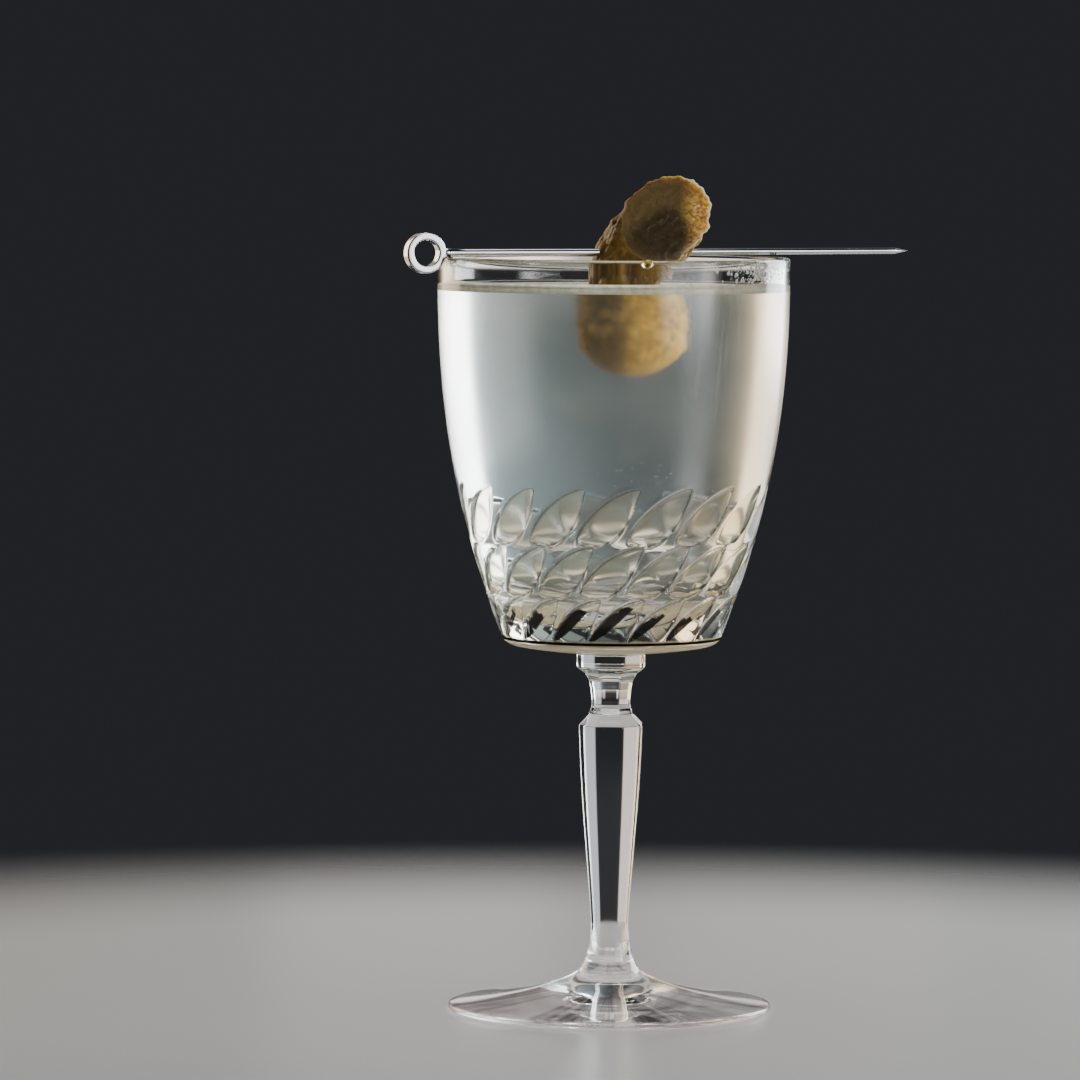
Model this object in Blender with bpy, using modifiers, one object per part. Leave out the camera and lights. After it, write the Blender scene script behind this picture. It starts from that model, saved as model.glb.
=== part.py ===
"""A pickle cocktail in a cut stemmed glass, with a gherkin on a steel pick laid across the rim.

The frame has +Z up, its origin at the centre of the foot's underside and the viewer in front at -Y.
Lengths below are in millimetres and become metres where a mesh is made. Angles are in degrees.
"""

import math
import random

import bmesh
import bpy
from mathutils import Matrix, Vector

MM = 0.001
GAP = 0.3
MERGE = 0.0001

# Glass: bowl
RIM_HEIGHT = 163.6
RIM_RADIUS = 38.2
BOWL_STEPS = 54
LIP_STEPS = 6
BAND_TOP_HEIGHT = 115.5
BAND_FOOT_HEIGHT = 81.5
BAND_STEPS = 7
BOWL_NARROWING = 14.35
BOWL_CURVE = 2.3
WALL_AT_RIM = 1.5
WALL_GAIN = 4.0
WALL_CURVE = 4.0
INNER_FLOOR_HEIGHT = 86.0
INNER_CORNER_HEIGHT = 98.0
INNER_CORNER_REACH = 8.0
INNER_FLOOR_FLAT = 13.0
INNER_FLOOR_STEPS = 7
UNDERSIDE_RADIUS = 21.0
UNDERSIDE_HEIGHT = 77.6
UNDERSIDE_RISE = 1.8
UNDERSIDE_SHARES = (0.7, 0.35)
UNDERSIDE_TURN = ((-0.6, -1.2), (1.3, 0.3))
UNDERSIDE_TURN_STEPS = 3

# Glass: leaf cuts, in rows from the top of the band down, each as
# (azimuth of one tip in degrees, height of the tip, azimuth span in degrees, rise)
LEAF_ROWS = (
    (-9.7, 114.9, 24.6, 11.6),
    (-7.3, 102.3, 26.6, 10.1),
    (-4.9, 90.9, 26.7, 9.4),
)
LEAVES_PER_ROW = 18
LEAF_DEPTH = 0.7
LEAF_UPPER_SWELL = 0.146
LEAF_UPPER_POWER = 0.75
LEAF_LOWER_SWELL = 0.274
LEAF_LOWER_POWERS = (0.8, 1.1)
LEAF_HEART = (0.45, -0.06)
LEAF_SIDE_POINTS = 6
LEAF_RINGS = ((0.6, -0.64), (1.4, 0.64))
LEAF_LID = 3.0

# Glass: stem, an octagon whose corners turn with STEM_TURN, as (corner radius, height) from the top
STEM_SIDES = 8
STEM_TURN = 20.0
COLLAR = ((8.0, 78.8), (8.0, 75.0), (7.4, 74.3))
NECK = ((6.1, 73.5), (5.2, 71.9), (4.75, 70.1), (4.5, 67.5), (4.6, 65.9), (5.0, 65.4), (5.0, 64.6))
SHAFT = ((7.45, 62.2), (7.4, 60.6), (7.0, 52.7), (6.4, 44.0), (5.65, 35.3), (4.9, 26.5), (4.45, 20.4))
SHAFT_FOOT = ((4.35, 16.9), (4.3, 5.0))

# Glass: foot, as (radius, height) from the flare's top inside the stem
FLARE = (
    (3.9, 18.0),
    (4.2, 15.4),
    (4.75, 13.0),
    (5.2, 11.2),
    (5.8, 9.9),
    (6.9, 8.4),
    (8.5, 7.4),
    (11.0, 6.35),
)
FOOT_SLOPE = ((17.0, 4.5), (25.0, 2.9), (33.6, 1.75))
FOOT_RADIUS = 35.1
FOOT_EDGE = 1.6
FOOT_BEVEL = 0.45

# Drink
DRINK_LEVEL = 157.0
DRINK_STEPS = 36
MENISCUS_RISE = 0.8
MENISCUS_WIDTH = 1.3
MENISCUS_BEND = 0.35

# Pick: it lies across the rim over the glass's axis, its ring end turned towards the viewer
PICK_TURN = 20.0
WIRE_RADIUS_RING_END = 0.9
WIRE_RADIUS_TIP_END = 0.65
WIRE_START = -39.4
WIRE_END = 65.4
TIP_END = 68.5
BEAD = ((-38.9, 1.08), (-38.0, 1.08), (-37.4, 0.9))
WIRE_SIDES = 12
RING_CENTRE = -43.1
RING_OUTER_RADIUS = 4.35
RING_HOLE_RADIUS = 3.1
RING_DEPTH = 3.0
RING_BEVEL = 0.3
RING_STEPS = 28

# Gherkin: it stands in the drink, bends at the rim and leans to the right, and its top is cut on a slant
GHERKIN_RADIUS = 8.6
GHERKIN_CAP = 9.0
GHERKIN_LENGTH = 56.0
GHERKIN_FOOT = (3.0, 139.0)
GHERKIN_BEND_START = 17.9
GHERKIN_BEND_LENGTH = 8.0
GHERKIN_LEAN = 36.9
GHERKIN_CREASE_ALONG = 19.5
GHERKIN_CREASE_REACH = 3.5
GHERKIN_CREASE_DEPTH = 1.5
GHERKIN_PIERCED_AT = 5.8
GHERKIN_SIDES = 34
GHERKIN_RINGS = 34
CUT_ALONG = 35.4
CUT_SLANT = 50.0
CUT_TURN = -6.5
CUT_TOLERANCE = 1e-6
BORE_RADIUS = 1.15
BORE_LENGTH = 60.0
WARTS = 110
WART_HEIGHT = 0.6
WART_RADIUS = 1.5
WART_SIZES = (0.7, 1.2)
WART_MARGINS = (3.0, 6.0)
WART_SEED = 7
NOTCH_SIDES = 20


def clear_scene():
    """Removes what the new file came with."""
    for thing in list(bpy.data.objects):
        bpy.data.objects.remove(thing, do_unlink=True)


def new_collection(name):
    """Returns a new collection in the scene."""
    made = bpy.data.collections.new(name)
    bpy.context.scene.collection.children.link(made)
    return made


def new_material(name, colour, roughness, metallic=0.0, transmission=0.0):
    """Returns a plain Principled material."""
    made = bpy.data.materials.new(name)
    made.use_nodes = True
    shader = made.node_tree.nodes["Principled BSDF"]
    shader.inputs["Base Color"].default_value = (*colour, 1.0)
    shader.inputs["Roughness"].default_value = roughness
    shader.inputs["Metallic"].default_value = metallic
    shader.inputs["Transmission Weight"].default_value = transmission
    return made


def new_object(name, mesh, collection, material=None):
    """Returns a new object that shows the mesh, in the collection."""
    made = bpy.data.objects.new(name, mesh)
    collection.objects.link(made)
    if material:
        made.data.materials.append(material)
    return made


def hide(guide):
    """Marks an object as a cutter or an operand, which is no piece of the part."""
    guide.hide_render = True
    guide.display_type = "WIRE"


def turned(name, outline, steps, collection, material=None, closed=False):
    """Returns the outline, given as (radius, height), turned about the object's Z axis."""
    corners = [(radius * MM, 0.0, height * MM) for radius, height in outline]
    edges = [(i, i + 1) for i in range(len(corners) - 1)]
    if closed:
        edges.append((len(corners) - 1, 0))
    mesh = bpy.data.meshes.new(name)
    mesh.from_pydata(corners, edges, [])
    made = new_object(name, mesh, collection, material)
    screw = made.modifiers.new("Turn", "SCREW")
    screw.axis = "Z"
    screw.steps = steps
    screw.render_steps = steps
    screw.use_merge_vertices = True
    screw.merge_threshold = MERGE
    screw.use_smooth_shade = True
    return made


def boolean(target, other, operation):
    """Joins or cuts the target with an object or with a collection."""
    step = target.modifiers.new(operation.title(), "BOOLEAN")
    step.operation = operation
    step.solver = "EXACT"
    if isinstance(other, bpy.types.Collection):
        step.operand_type = "COLLECTION"
        step.collection = other
    else:
        step.object = other


def bezier(start, start_handle, end_handle, end, count):
    """Returns count points of a cubic curve, without its start."""
    points = []
    for i in range(1, count + 1):
        t = i / count
        shares = ((1 - t) ** 3, 3 * t * (1 - t) ** 2, 3 * t * t * (1 - t), t**3)
        pair = zip(shares, (start, start_handle, end_handle, end))
        points.append(tuple(map(sum, zip(*((share * p[0], share * p[1]) for share, p in pair)))))
    return points


def outer_radius(height):
    """Bowl's outer radius: it narrows with a power of the depth below the rim."""
    depth = max(RIM_HEIGHT - height, 0.0) / (RIM_HEIGHT - BAND_FOOT_HEIGHT)
    return RIM_RADIUS - BOWL_NARROWING * depth**BOWL_CURVE


def outer_slope(height):
    """Change of the outer radius for each millimetre of height."""
    return outer_radius(height + 0.5) - outer_radius(height - 0.5)


def inner_radius(height):
    """Bowl's inner radius, with the wall thickening towards the base."""
    depth = (RIM_HEIGHT - height) / (RIM_HEIGHT - BAND_FOOT_HEIGHT)
    return outer_radius(height) - WALL_AT_RIM - WALL_GAIN * depth**WALL_CURVE


def spaced(first, last, count):
    """Returns count heights from first to last, both included."""
    return [first + (last - first) * i / (count - 1) for i in range(count)]


def inner_outline(top, count, inset=0.0):
    """Returns the inner wall's (radius, height) points from the floor's centre up to the top."""
    corner = (inner_radius(INNER_CORNER_HEIGHT) - inset, INNER_CORNER_HEIGHT)
    slope = inner_radius(INNER_CORNER_HEIGHT + 0.5) - inner_radius(INNER_CORNER_HEIGHT - 0.5)
    handle = (corner[0] - slope * INNER_CORNER_REACH, corner[1] - INNER_CORNER_REACH)
    floor = INNER_FLOOR_HEIGHT + inset
    bottom = bezier(corner, handle, (INNER_FLOOR_FLAT, floor), (0.0, floor), INNER_FLOOR_STEPS)
    wall = [(inner_radius(z) - inset, z) for z in spaced(INNER_CORNER_HEIGHT, top, count)]
    return bottom[::-1] + wall


def bowl_outline():
    """Returns the bowl's closed half section, up the inside, over the rim and down the outside."""
    lip = WALL_AT_RIM / 2
    crown = RIM_HEIGHT - lip
    over = []
    for i in range(1, LIP_STEPS):
        angle = math.pi * (1 - i / LIP_STEPS)
        over.append((RIM_RADIUS - lip + lip * math.cos(angle), crown + lip * math.sin(angle)))
    above = [(outer_radius(z), z) for z in spaced(crown, BAND_TOP_HEIGHT, 6)]
    band = [(outer_radius(z), z) for z in spaced(BAND_TOP_HEIGHT, BAND_FOOT_HEIGHT, BAND_STEPS)[1:]]
    corner = Vector((outer_radius(BAND_FOOT_HEIGHT), BAND_FOOT_HEIGHT))
    edge = Vector((UNDERSIDE_RADIUS, UNDERSIDE_HEIGHT + UNDERSIDE_RISE))
    leave, arrive = (Vector(handle) for handle in UNDERSIDE_TURN)
    turn = bezier(corner, corner + leave, edge + arrive, edge, UNDERSIDE_TURN_STEPS)
    dome = []
    for share in UNDERSIDE_SHARES:
        dome.append((UNDERSIDE_RADIUS * share, UNDERSIDE_HEIGHT + UNDERSIDE_RISE * share**2))
    return inner_outline(crown, 8) + over + above + band + turn + dome + [(0.0, UNDERSIDE_HEIGHT)]


def stem_outline():
    """Returns the octagonal stem's half section, from inside the bowl's base into the foot."""
    runs = COLLAR + NECK + SHAFT + SHAFT_FOOT
    return [(0.0, runs[0][1]), *runs, (0.0, runs[-1][1])]


def foot_outline():
    """Returns the round foot's half section, from the flare's top down to its flat underside."""
    low = FOOT_BEVEL
    high = FOOT_EDGE - FOOT_BEVEL
    edge = [(FOOT_RADIUS, high), (FOOT_RADIUS, low), (FOOT_RADIUS - low, 0.0)]
    return [(0.0, FLARE[0][1]), *FLARE, *FOOT_SLOPE, *edge, (0.0, 0.0)]


def leaf_outline():
    """Returns a leaf's (along, across) points as shares of its length, from its blunt end round.

    Its upper side is an even bow. Its lower side bulges most nearer the blunt end.
    """
    blunt, sharp = LEAF_LOWER_POWERS
    fullest = blunt / (blunt + sharp)
    most = fullest**blunt * (1 - fullest) ** sharp
    upper = []
    lower = []
    for i in range(LEAF_SIDE_POINTS + 1):
        s = (1 - math.cos(math.pi * i / LEAF_SIDE_POINTS)) / 2
        upper.append((s, LEAF_UPPER_SWELL * (4 * s * (1 - s)) ** LEAF_UPPER_POWER))
        lower.append((s, -LEAF_LOWER_SWELL * s**blunt * (1 - s) ** sharp / most))
    return upper[:-1] + lower[:0:-1]


def leaf_cutter(name, tip_azimuth, tip_height, span, rise, collection):
    """Returns the body that scoops one leaf out of the bowl.

    The leaf's outline is laid on the bowl's outside, from the blunt end up to the tip, and shrunk
    and grown about its heart. Each ring of it stands off the surface by a share of the depth, so
    the rings cross the surface where the leaf's own outline runs.
    """
    arc = math.radians(span) * outer_radius(tip_height - rise / 2)
    length = math.hypot(arc, rise)
    slope = math.atan2(rise, arc)
    start = tip_azimuth - span
    heart = Vector(LEAF_HEART)

    def place(point, height):
        along = point.x * length
        across = point.y * length
        u = along * math.cos(slope) - across * math.sin(slope)
        z = tip_height - rise + along * math.sin(slope) + across * math.cos(slope)
        azimuth = math.radians(start + span * u / arc)
        tilt = math.atan(outer_slope(z))
        radius = outer_radius(z) + height * math.cos(tilt)
        return Vector((radius * math.sin(azimuth), -radius * math.cos(azimuth), z - height * math.sin(tilt))) * MM

    shape = bmesh.new()
    outline = [Vector(p) for p in leaf_outline()]
    keel = shape.verts.new(place(heart, -LEAF_DEPTH))
    lid = shape.verts.new(place(heart, LEAF_LID))
    rings = []
    for scale, stand_off in LEAF_RINGS:
        points = [place(heart + (p - heart) * scale, stand_off * LEAF_DEPTH) for p in outline]
        rings.append([shape.verts.new(p) for p in points])
    count = len(outline)
    for i in range(count):
        j = (i + 1) % count
        shape.faces.new((keel, rings[0][i], rings[0][j]))
        shape.faces.new((rings[0][i], rings[1][i], rings[1][j], rings[0][j]))
        shape.faces.new((lid, rings[1][j], rings[1][i]))
    bmesh.ops.recalc_face_normals(shape, faces=shape.faces)
    mesh = bpy.data.meshes.new(name)
    shape.to_mesh(mesh)
    shape.free()
    made = new_object(name, mesh, collection)
    hide(made)
    return made


def make_glass(parts, cutters):
    """Makes the goblet as one solid: bowl, octagonal stem and foot joined, the leaves cut."""
    glass_look = new_material("clear_glass", (0.95, 0.96, 0.95), 0.02, transmission=1.0)
    glass = turned("glass", bowl_outline(), BOWL_STEPS, parts, glass_look)
    leaves = bpy.data.collections.new("leaf_cutters")
    cutters.children.link(leaves)
    pitch = 360.0 / LEAVES_PER_ROW
    for row, (tip_azimuth, tip_height, span, rise) in enumerate(LEAF_ROWS):
        for i in range(LEAVES_PER_ROW):
            leaf_cutter(f"leaf_{row}_{i}", tip_azimuth + pitch * i, tip_height, span, rise, leaves)
    boolean(glass, leaves, "DIFFERENCE")
    stem = turned("stem", stem_outline(), STEM_SIDES, cutters)
    stem.rotation_euler.z = math.radians(STEM_TURN)
    hide(stem)
    boolean(glass, stem, "UNION")
    foot = turned("foot", foot_outline(), BOWL_STEPS, cutters)
    hide(foot)
    boolean(glass, foot, "UNION")
    return glass


def pick_line():
    """Returns the pick's centre over the glass's axis and its direction towards the tip."""
    reach = RIM_RADIUS - WALL_AT_RIM / 2
    left = RIM_HEIGHT + GAP + wire_radius(-reach)
    right = RIM_HEIGHT + GAP + wire_radius(reach)
    turn = math.radians(PICK_TURN)
    direction = Vector((math.cos(turn), math.sin(turn), (right - left) / (2 * reach)))
    return Vector((0.0, 0.0, (left + right) / 2)), direction.normalized()


def wire_radius(along):
    """Wire's radius at a distance along the pick from the glass's axis, towards the tip."""
    share = (along - WIRE_START) / (WIRE_END - WIRE_START)
    return WIRE_RADIUS_RING_END + (WIRE_RADIUS_TIP_END - WIRE_RADIUS_RING_END) * share


def make_pick(parts, cutters):
    """Makes the steel pick: a ring, a weld bead, a tapered wire and a pencil point, joined."""
    steel = new_material("polished_steel", (0.78, 0.78, 0.8), 0.12, metallic=1.0)
    centre, direction = pick_line()
    middle = (WIRE_START + WIRE_END) / 2
    stations = [(-WIRE_START, wire_radius(WIRE_START))]
    stations += [(-along, radius) for along, radius in BEAD]
    stations += [(-middle, wire_radius(middle)), (-WIRE_END, wire_radius(WIRE_END))]
    outline = [(0.0, -WIRE_START)]
    outline += [(radius, height) for height, radius in stations]
    outline += [(WIRE_RADIUS_TIP_END * 0.5, -(WIRE_END + TIP_END) / 2), (0.0, -TIP_END)]
    pick = turned("pick", outline, WIRE_SIDES, parts, steel)
    pick.rotation_mode = "QUATERNION"
    pick.rotation_quaternion = (-direction).to_track_quat("Z", "Y")
    pick.location = centre * MM

    half = RING_DEPTH / 2
    bevel = RING_BEVEL
    section = [
        (RING_OUTER_RADIUS - bevel, half),
        (RING_OUTER_RADIUS, half - bevel),
        (RING_OUTER_RADIUS, bevel - half),
        (RING_OUTER_RADIUS - bevel, -half),
        (RING_HOLE_RADIUS + bevel, -half),
        (RING_HOLE_RADIUS, bevel - half),
        (RING_HOLE_RADIUS, half - bevel),
        (RING_HOLE_RADIUS + bevel, half),
    ]
    ring = turned("ring", section, RING_STEPS, cutters, closed=True)
    across = Vector((0.0, 0.0, 1.0)).cross(direction)
    ring.rotation_mode = "QUATERNION"
    ring.rotation_quaternion = across.to_track_quat("Z", "Y")
    ring.location = (centre + direction * RING_CENTRE) * MM
    hide(ring)
    boolean(pick, ring, "UNION")
    return pick


def gherkin_centre(along):
    """Returns the centreline's point and its lean from upright, at a distance from the low end.

    It rises straight, turns on an arc and goes on straight.
    """
    x, z = GHERKIN_FOOT
    lean = math.radians(GHERKIN_LEAN)
    arc_radius = GHERKIN_BEND_LENGTH / lean
    turned_by = min(max(along - GHERKIN_BEND_START, 0.0) / GHERKIN_BEND_LENGTH, 1.0) * lean
    before = min(along, GHERKIN_BEND_START)
    after = max(along - GHERKIN_BEND_START - GHERKIN_BEND_LENGTH, 0.0)
    x += arc_radius * (1 - math.cos(turned_by)) + after * math.sin(lean)
    z += before + arc_radius * math.sin(turned_by) + after * math.cos(lean)
    return Vector((x, gherkin_depth(), z)), turned_by


def gherkin_depth():
    """Returns the gherkin's place along Y, which puts it on the pick."""
    return GHERKIN_PIERCED_AT * math.tan(math.radians(PICK_TURN))


def gherkin_girth(along, extra):
    """Radius at a distance from the low end, grown by extra: full, with elliptical ends."""
    from_end = min(along, GHERKIN_LENGTH - along) + extra
    cap = GHERKIN_CAP + extra
    inward = max(cap - from_end, 0.0) / cap
    return (GHERKIN_RADIUS + extra) * math.sqrt(max(1 - inward**2, 0.0))


def fold_share(along, angle):
    """Share from 0 to 1 by which a place on the skin is in the fold inside the bend."""
    near = math.exp(-(((along - GHERKIN_CREASE_ALONG) / GHERKIN_CREASE_REACH) ** 2))
    return near * max(math.cos(angle), 0.0)


def gherkin_body(sides, rings, extra, warts):
    """Returns the gherkin's bent body, grown by extra, with its warts, as a mesh under work."""
    body = bmesh.new()
    bmesh.ops.create_uvsphere(body, u_segments=sides, v_segments=rings, radius=1.0)
    for vert in body.verts:
        share = 0.5 + math.asin(max(-1.0, min(1.0, vert.co.z))) / math.pi
        along = share * (GHERKIN_LENGTH + 2 * extra) - extra
        centre, lean = gherkin_centre(along)
        side = Vector((math.cos(lean), 0.0, -math.sin(lean)))
        angle = math.atan2(vert.co.y, vert.co.x)
        outward = side * math.cos(angle) + Vector((0.0, math.sin(angle), 0.0))
        lift = min(sum(wart_lift(along, angle, wart) for wart in warts), WART_HEIGHT)
        folded = fold_share(along, angle)
        reach = gherkin_girth(along, extra) - GHERKIN_CREASE_DEPTH * folded + lift * (1 - folded)
        vert.co = (centre + outward * reach) * MM
    return body


def wart_lift(along, angle, wart):
    """Height that one wart adds at a place on the skin."""
    turn = (angle - wart[1] + math.pi) % (2 * math.pi) - math.pi
    distance = math.hypot(along - wart[0], turn * GHERKIN_RADIUS) / wart[2]
    return WART_HEIGHT * max(1 - distance**2, 0.0)


def make_warts():
    """Returns the warts as (place along, angle round, radius), drawn with a fixed seed."""
    draw = random.Random(WART_SEED)
    low, high = WART_MARGINS
    made = []
    for _ in range(WARTS):
        along = draw.uniform(low, GHERKIN_LENGTH - high)
        made.append((along, draw.uniform(-math.pi, math.pi), WART_RADIUS * draw.uniform(*WART_SIZES)))
    return made


def cut_plane():
    """Returns a point of the gherkin's slanted cut and the way that the cut faces."""
    centre, lean = gherkin_centre(CUT_ALONG)
    forward = Vector((math.sin(lean), 0.0, math.cos(lean)))
    side = Vector((math.cos(lean), 0.0, -math.sin(lean)))
    slant = math.radians(CUT_SLANT)
    turn = math.radians(CUT_TURN)
    aside = Vector((0.0, -1.0, 0.0)) * math.cos(turn) + side * math.sin(turn)
    return centre, forward * math.cos(slant) + aside * math.sin(slant)


def make_gherkin(parts, cutters):
    """Makes the gherkin with its warts, its slanted cut and the bore that the pick runs through."""
    skin = new_material("pickled_skin", (0.23, 0.17, 0.05), 0.35)
    body = gherkin_body(GHERKIN_SIDES, GHERKIN_RINGS, 0.0, make_warts())
    point, facing = cut_plane()
    everything = body.verts[:] + body.edges[:] + body.faces[:]
    cut = bmesh.ops.bisect_plane(
        body,
        geom=everything,
        dist=CUT_TOLERANCE,
        plane_co=point * MM,
        plane_no=facing,
        clear_outer=True,
    )
    open_edges = [e for e in cut["geom_cut"] if isinstance(e, bmesh.types.BMEdge)]
    bmesh.ops.triangle_fill(body, use_beauty=True, edges=open_edges)
    bmesh.ops.recalc_face_normals(body, faces=body.faces)
    mesh = bpy.data.meshes.new("gherkin")
    body.to_mesh(mesh)
    body.free()
    gherkin = new_object("gherkin", mesh, parts, skin)
    mesh.shade_smooth()

    centre, direction = pick_line()
    rod = bmesh.new()
    bmesh.ops.create_cone(
        rod,
        cap_ends=True,
        segments=WIRE_SIDES,
        radius1=BORE_RADIUS * MM,
        radius2=BORE_RADIUS * MM,
        depth=BORE_LENGTH * MM,
    )
    bore_mesh = bpy.data.meshes.new("bore")
    rod.to_mesh(bore_mesh)
    rod.free()
    bore = new_object("bore", bore_mesh, cutters)
    place = centre + direction * (GHERKIN_PIERCED_AT / math.cos(math.radians(PICK_TURN)))
    turn = direction.to_track_quat("Z", "Y").to_matrix().to_4x4()
    bore.matrix_world = Matrix.Translation(place * MM) @ turn
    hide(bore)
    boolean(gherkin, bore, "DIFFERENCE")
    return gherkin


def drink_outline():
    """Returns the drink's half section: up the wall's inside, in over the meniscus, to the axis."""
    rim = DRINK_LEVEL + MENISCUS_RISE
    wall = inner_outline(rim, 6, inset=GAP)
    edge = wall[-1][0]
    top = [(edge - MENISCUS_WIDTH * MENISCUS_BEND, DRINK_LEVEL + MENISCUS_RISE * MENISCUS_BEND)]
    top += [(edge - MENISCUS_WIDTH, DRINK_LEVEL), (0.0, DRINK_LEVEL)]
    return (wall + top)[::-1]


def make_drink(parts, cutters):
    """Makes the drink inside the bowl, cut round the gherkin."""
    cloudy = new_material("cloudy_drink", (0.72, 0.76, 0.68), 0.05, transmission=0.8)
    drink = turned("drink", drink_outline(), DRINK_STEPS, parts, cloudy)
    body = gherkin_body(NOTCH_SIDES, NOTCH_SIDES, WART_HEIGHT + GAP, [])
    mesh = bpy.data.meshes.new("notch")
    body.to_mesh(mesh)
    body.free()
    notch = new_object("notch", mesh, cutters)
    hide(notch)
    boolean(drink, notch, "DIFFERENCE")
    return drink


def main():
    """Builds the four pieces."""
    clear_scene()
    parts = new_collection("pickle_cocktail")
    cutters = new_collection("cutters")
    make_glass(parts, cutters)
    make_drink(parts, cutters)
    make_gherkin(parts, cutters)
    make_pick(parts, cutters)


main()
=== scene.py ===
"""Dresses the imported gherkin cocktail: a cut goblet, its cloudy drink, the gherkin and the steel pick.

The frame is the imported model's own: +Z up, the origin under the foot's centre, the viewer at -Y.
Sizes are in millimetres until a mesh is made. A turn round the glass's axis is a polar angle from +X.
Every piece is worked out as arrays of points, ring by ring, and becomes one closed mesh.
"""

from __future__ import annotations

import logging
import math
import random
from dataclasses import dataclass, field
from enum import Enum

import bpy
import numpy as np
from mathutils import Matrix, Vector

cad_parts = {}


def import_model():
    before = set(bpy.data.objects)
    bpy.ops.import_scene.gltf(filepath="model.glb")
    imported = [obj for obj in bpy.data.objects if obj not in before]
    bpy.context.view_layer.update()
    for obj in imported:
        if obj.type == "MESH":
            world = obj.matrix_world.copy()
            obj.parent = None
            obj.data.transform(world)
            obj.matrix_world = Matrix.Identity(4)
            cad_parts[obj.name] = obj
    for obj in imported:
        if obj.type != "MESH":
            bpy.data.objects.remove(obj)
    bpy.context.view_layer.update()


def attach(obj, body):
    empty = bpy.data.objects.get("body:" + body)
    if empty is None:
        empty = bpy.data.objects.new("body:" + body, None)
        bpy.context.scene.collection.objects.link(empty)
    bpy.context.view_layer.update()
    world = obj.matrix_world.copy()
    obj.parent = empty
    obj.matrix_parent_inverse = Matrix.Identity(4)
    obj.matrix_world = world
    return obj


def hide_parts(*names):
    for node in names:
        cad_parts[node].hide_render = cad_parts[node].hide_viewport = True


LOG = logging.getLogger("cocktail")
MM = 0.001
FULL_TURN = 2.0 * math.pi
BODY = "root"
WHITE = (1.0, 1.0, 1.0, 1.0)
BLACK = (0.0, 0.0, 0.0, 1.0)

Range = tuple[float, float]
Band = tuple[float, float, float, float]
Light = tuple[float, float, float]
Colour = tuple[float, float, float, float]


class Slot(Enum):
    """Material slots, by name."""

    GLASS = "clear_glass"
    DRINK = "cloudy_drink"
    GHERKIN = "pickled_gherkin"
    STEEL = "polished_steel"


class Node(Enum):
    """CAD nodes that the pieces here stand for."""

    GLASS = "glass"
    DRINK = "drink"
    GHERKIN = "gherkin"
    PICK = "pick"


def place(piece: bpy.types.Object, slot: Slot, *nodes: Node) -> bpy.types.Object:
    """Makes a piece part of the object and logs it.

    Args:
        piece: The finished piece, whose place is in its mesh.
        slot: A material slot; not used.
        nodes: The CAD nodes that it stands for, if any.

    Returns:
        The same piece.
    """
    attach(piece, BODY)
    if nodes:
        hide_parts(*(node.value for node in nodes))
    LOG.info("%s: %d faces", piece.name, len(piece.data.polygons))
    return piece


def through(points: np.ndarray, steps: int) -> np.ndarray:
    """Works out a smooth curve through points.

    Within a span it is the cubic that passes both ends, with a slope at each end of half the
    difference between that point's neighbours.

    Args:
        points: One point to a row.
        steps: New points to each span.

    Returns:
        The curve's points, one to a row, the last one included.
    """
    ends = np.vstack([2 * points[0] - points[1], points, 2 * points[-1] - points[-2]])
    t = np.linspace(0, 1, steps, endpoint=False)[None, :, None]
    a, b, c, d = (ends[i : len(ends) - 3 + i, None, :] for i in range(4))
    cubic = 2 * b + (c - a) * t + (2 * a - 5 * b + 4 * c - d) * t**2 + (3 * b - a - 3 * c + d) * t**3
    return np.vstack([cubic.reshape(-1, points.shape[1]) / 2, points[-1:]])


def filleted(points: np.ndarray, reach: float, steps: int) -> np.ndarray:
    """Rounds the inner corners of a broken line.

    Each corner becomes a parabola that leaves the line at the reach before the corner and meets it
    again at the reach past it, or at under half of a short span.

    Args:
        points: One point to a row, with its place in the first two columns.
        reach: Distance from a corner to where its round begins.
        steps: Points along each round.

    Returns:
        The rounded line's points.
    """
    corner = points[1:-1]

    def towards(other: np.ndarray) -> np.ndarray:
        """Returns the point at the reach from each corner towards its neighbour."""
        way = other - corner
        length = np.linalg.norm(way[:, :2], axis=1, keepdims=True)
        return corner + way * np.minimum(reach, 0.45 * length) / length

    start, end = towards(points[:-2]), towards(points[2:])
    t = np.linspace(0, 1, steps)[None, :, None]
    curve = (1 - t) ** 2 * start[:, None] + 2 * t * (1 - t) * corner[:, None] + t**2 * end[:, None]
    return np.vstack([points[:1], curve.reshape(-1, points.shape[1]), points[-1:]])


def refined(points: np.ndarray, longest: float) -> np.ndarray:
    """Splits a line's long spans evenly, so that none is longer than the limit.

    Args:
        points: One point to a row, with its place in the first two columns.
        longest: Longest span that may stay.

    Returns:
        The line with the points that were added.
    """
    spans = np.linalg.norm(np.diff(points[:, :2], axis=0), axis=1)
    counts = np.maximum(np.ceil(spans / longest), 1).astype(int)
    starts = np.repeat(np.cumsum(counts) - counts, counts)
    within = (np.arange(counts.sum()) - starts) / np.repeat(counts, counts)
    along = np.append(np.repeat(np.arange(len(counts)), counts) + within, len(points) - 1)
    return np.column_stack([np.interp(along, np.arange(len(points)), column) for column in points.T])


def bezier(start: tuple, leave: tuple, arrive: tuple, end: tuple, count: int) -> np.ndarray:
    """Returns count points of the cubic curve between two points with two handles, its start left out."""
    t = np.linspace(0, 1, count + 1)[1:, None]
    shares = ((1 - t) ** 3, 3 * t * (1 - t) ** 2, 3 * t * t * (1 - t), t**3)
    return sum(share * np.array(point) for share, point in zip(shares, (start, leave, arrive, end)))


def smooth_step(value: np.ndarray, low: float, high: float) -> np.ndarray:
    """Returns a share that rises from 0 at the low to 1 at the high, level at both ends."""
    share = np.clip((value - low) / (high - low), 0.0, 1.0)
    return share * share * (3 - 2 * share)


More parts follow.
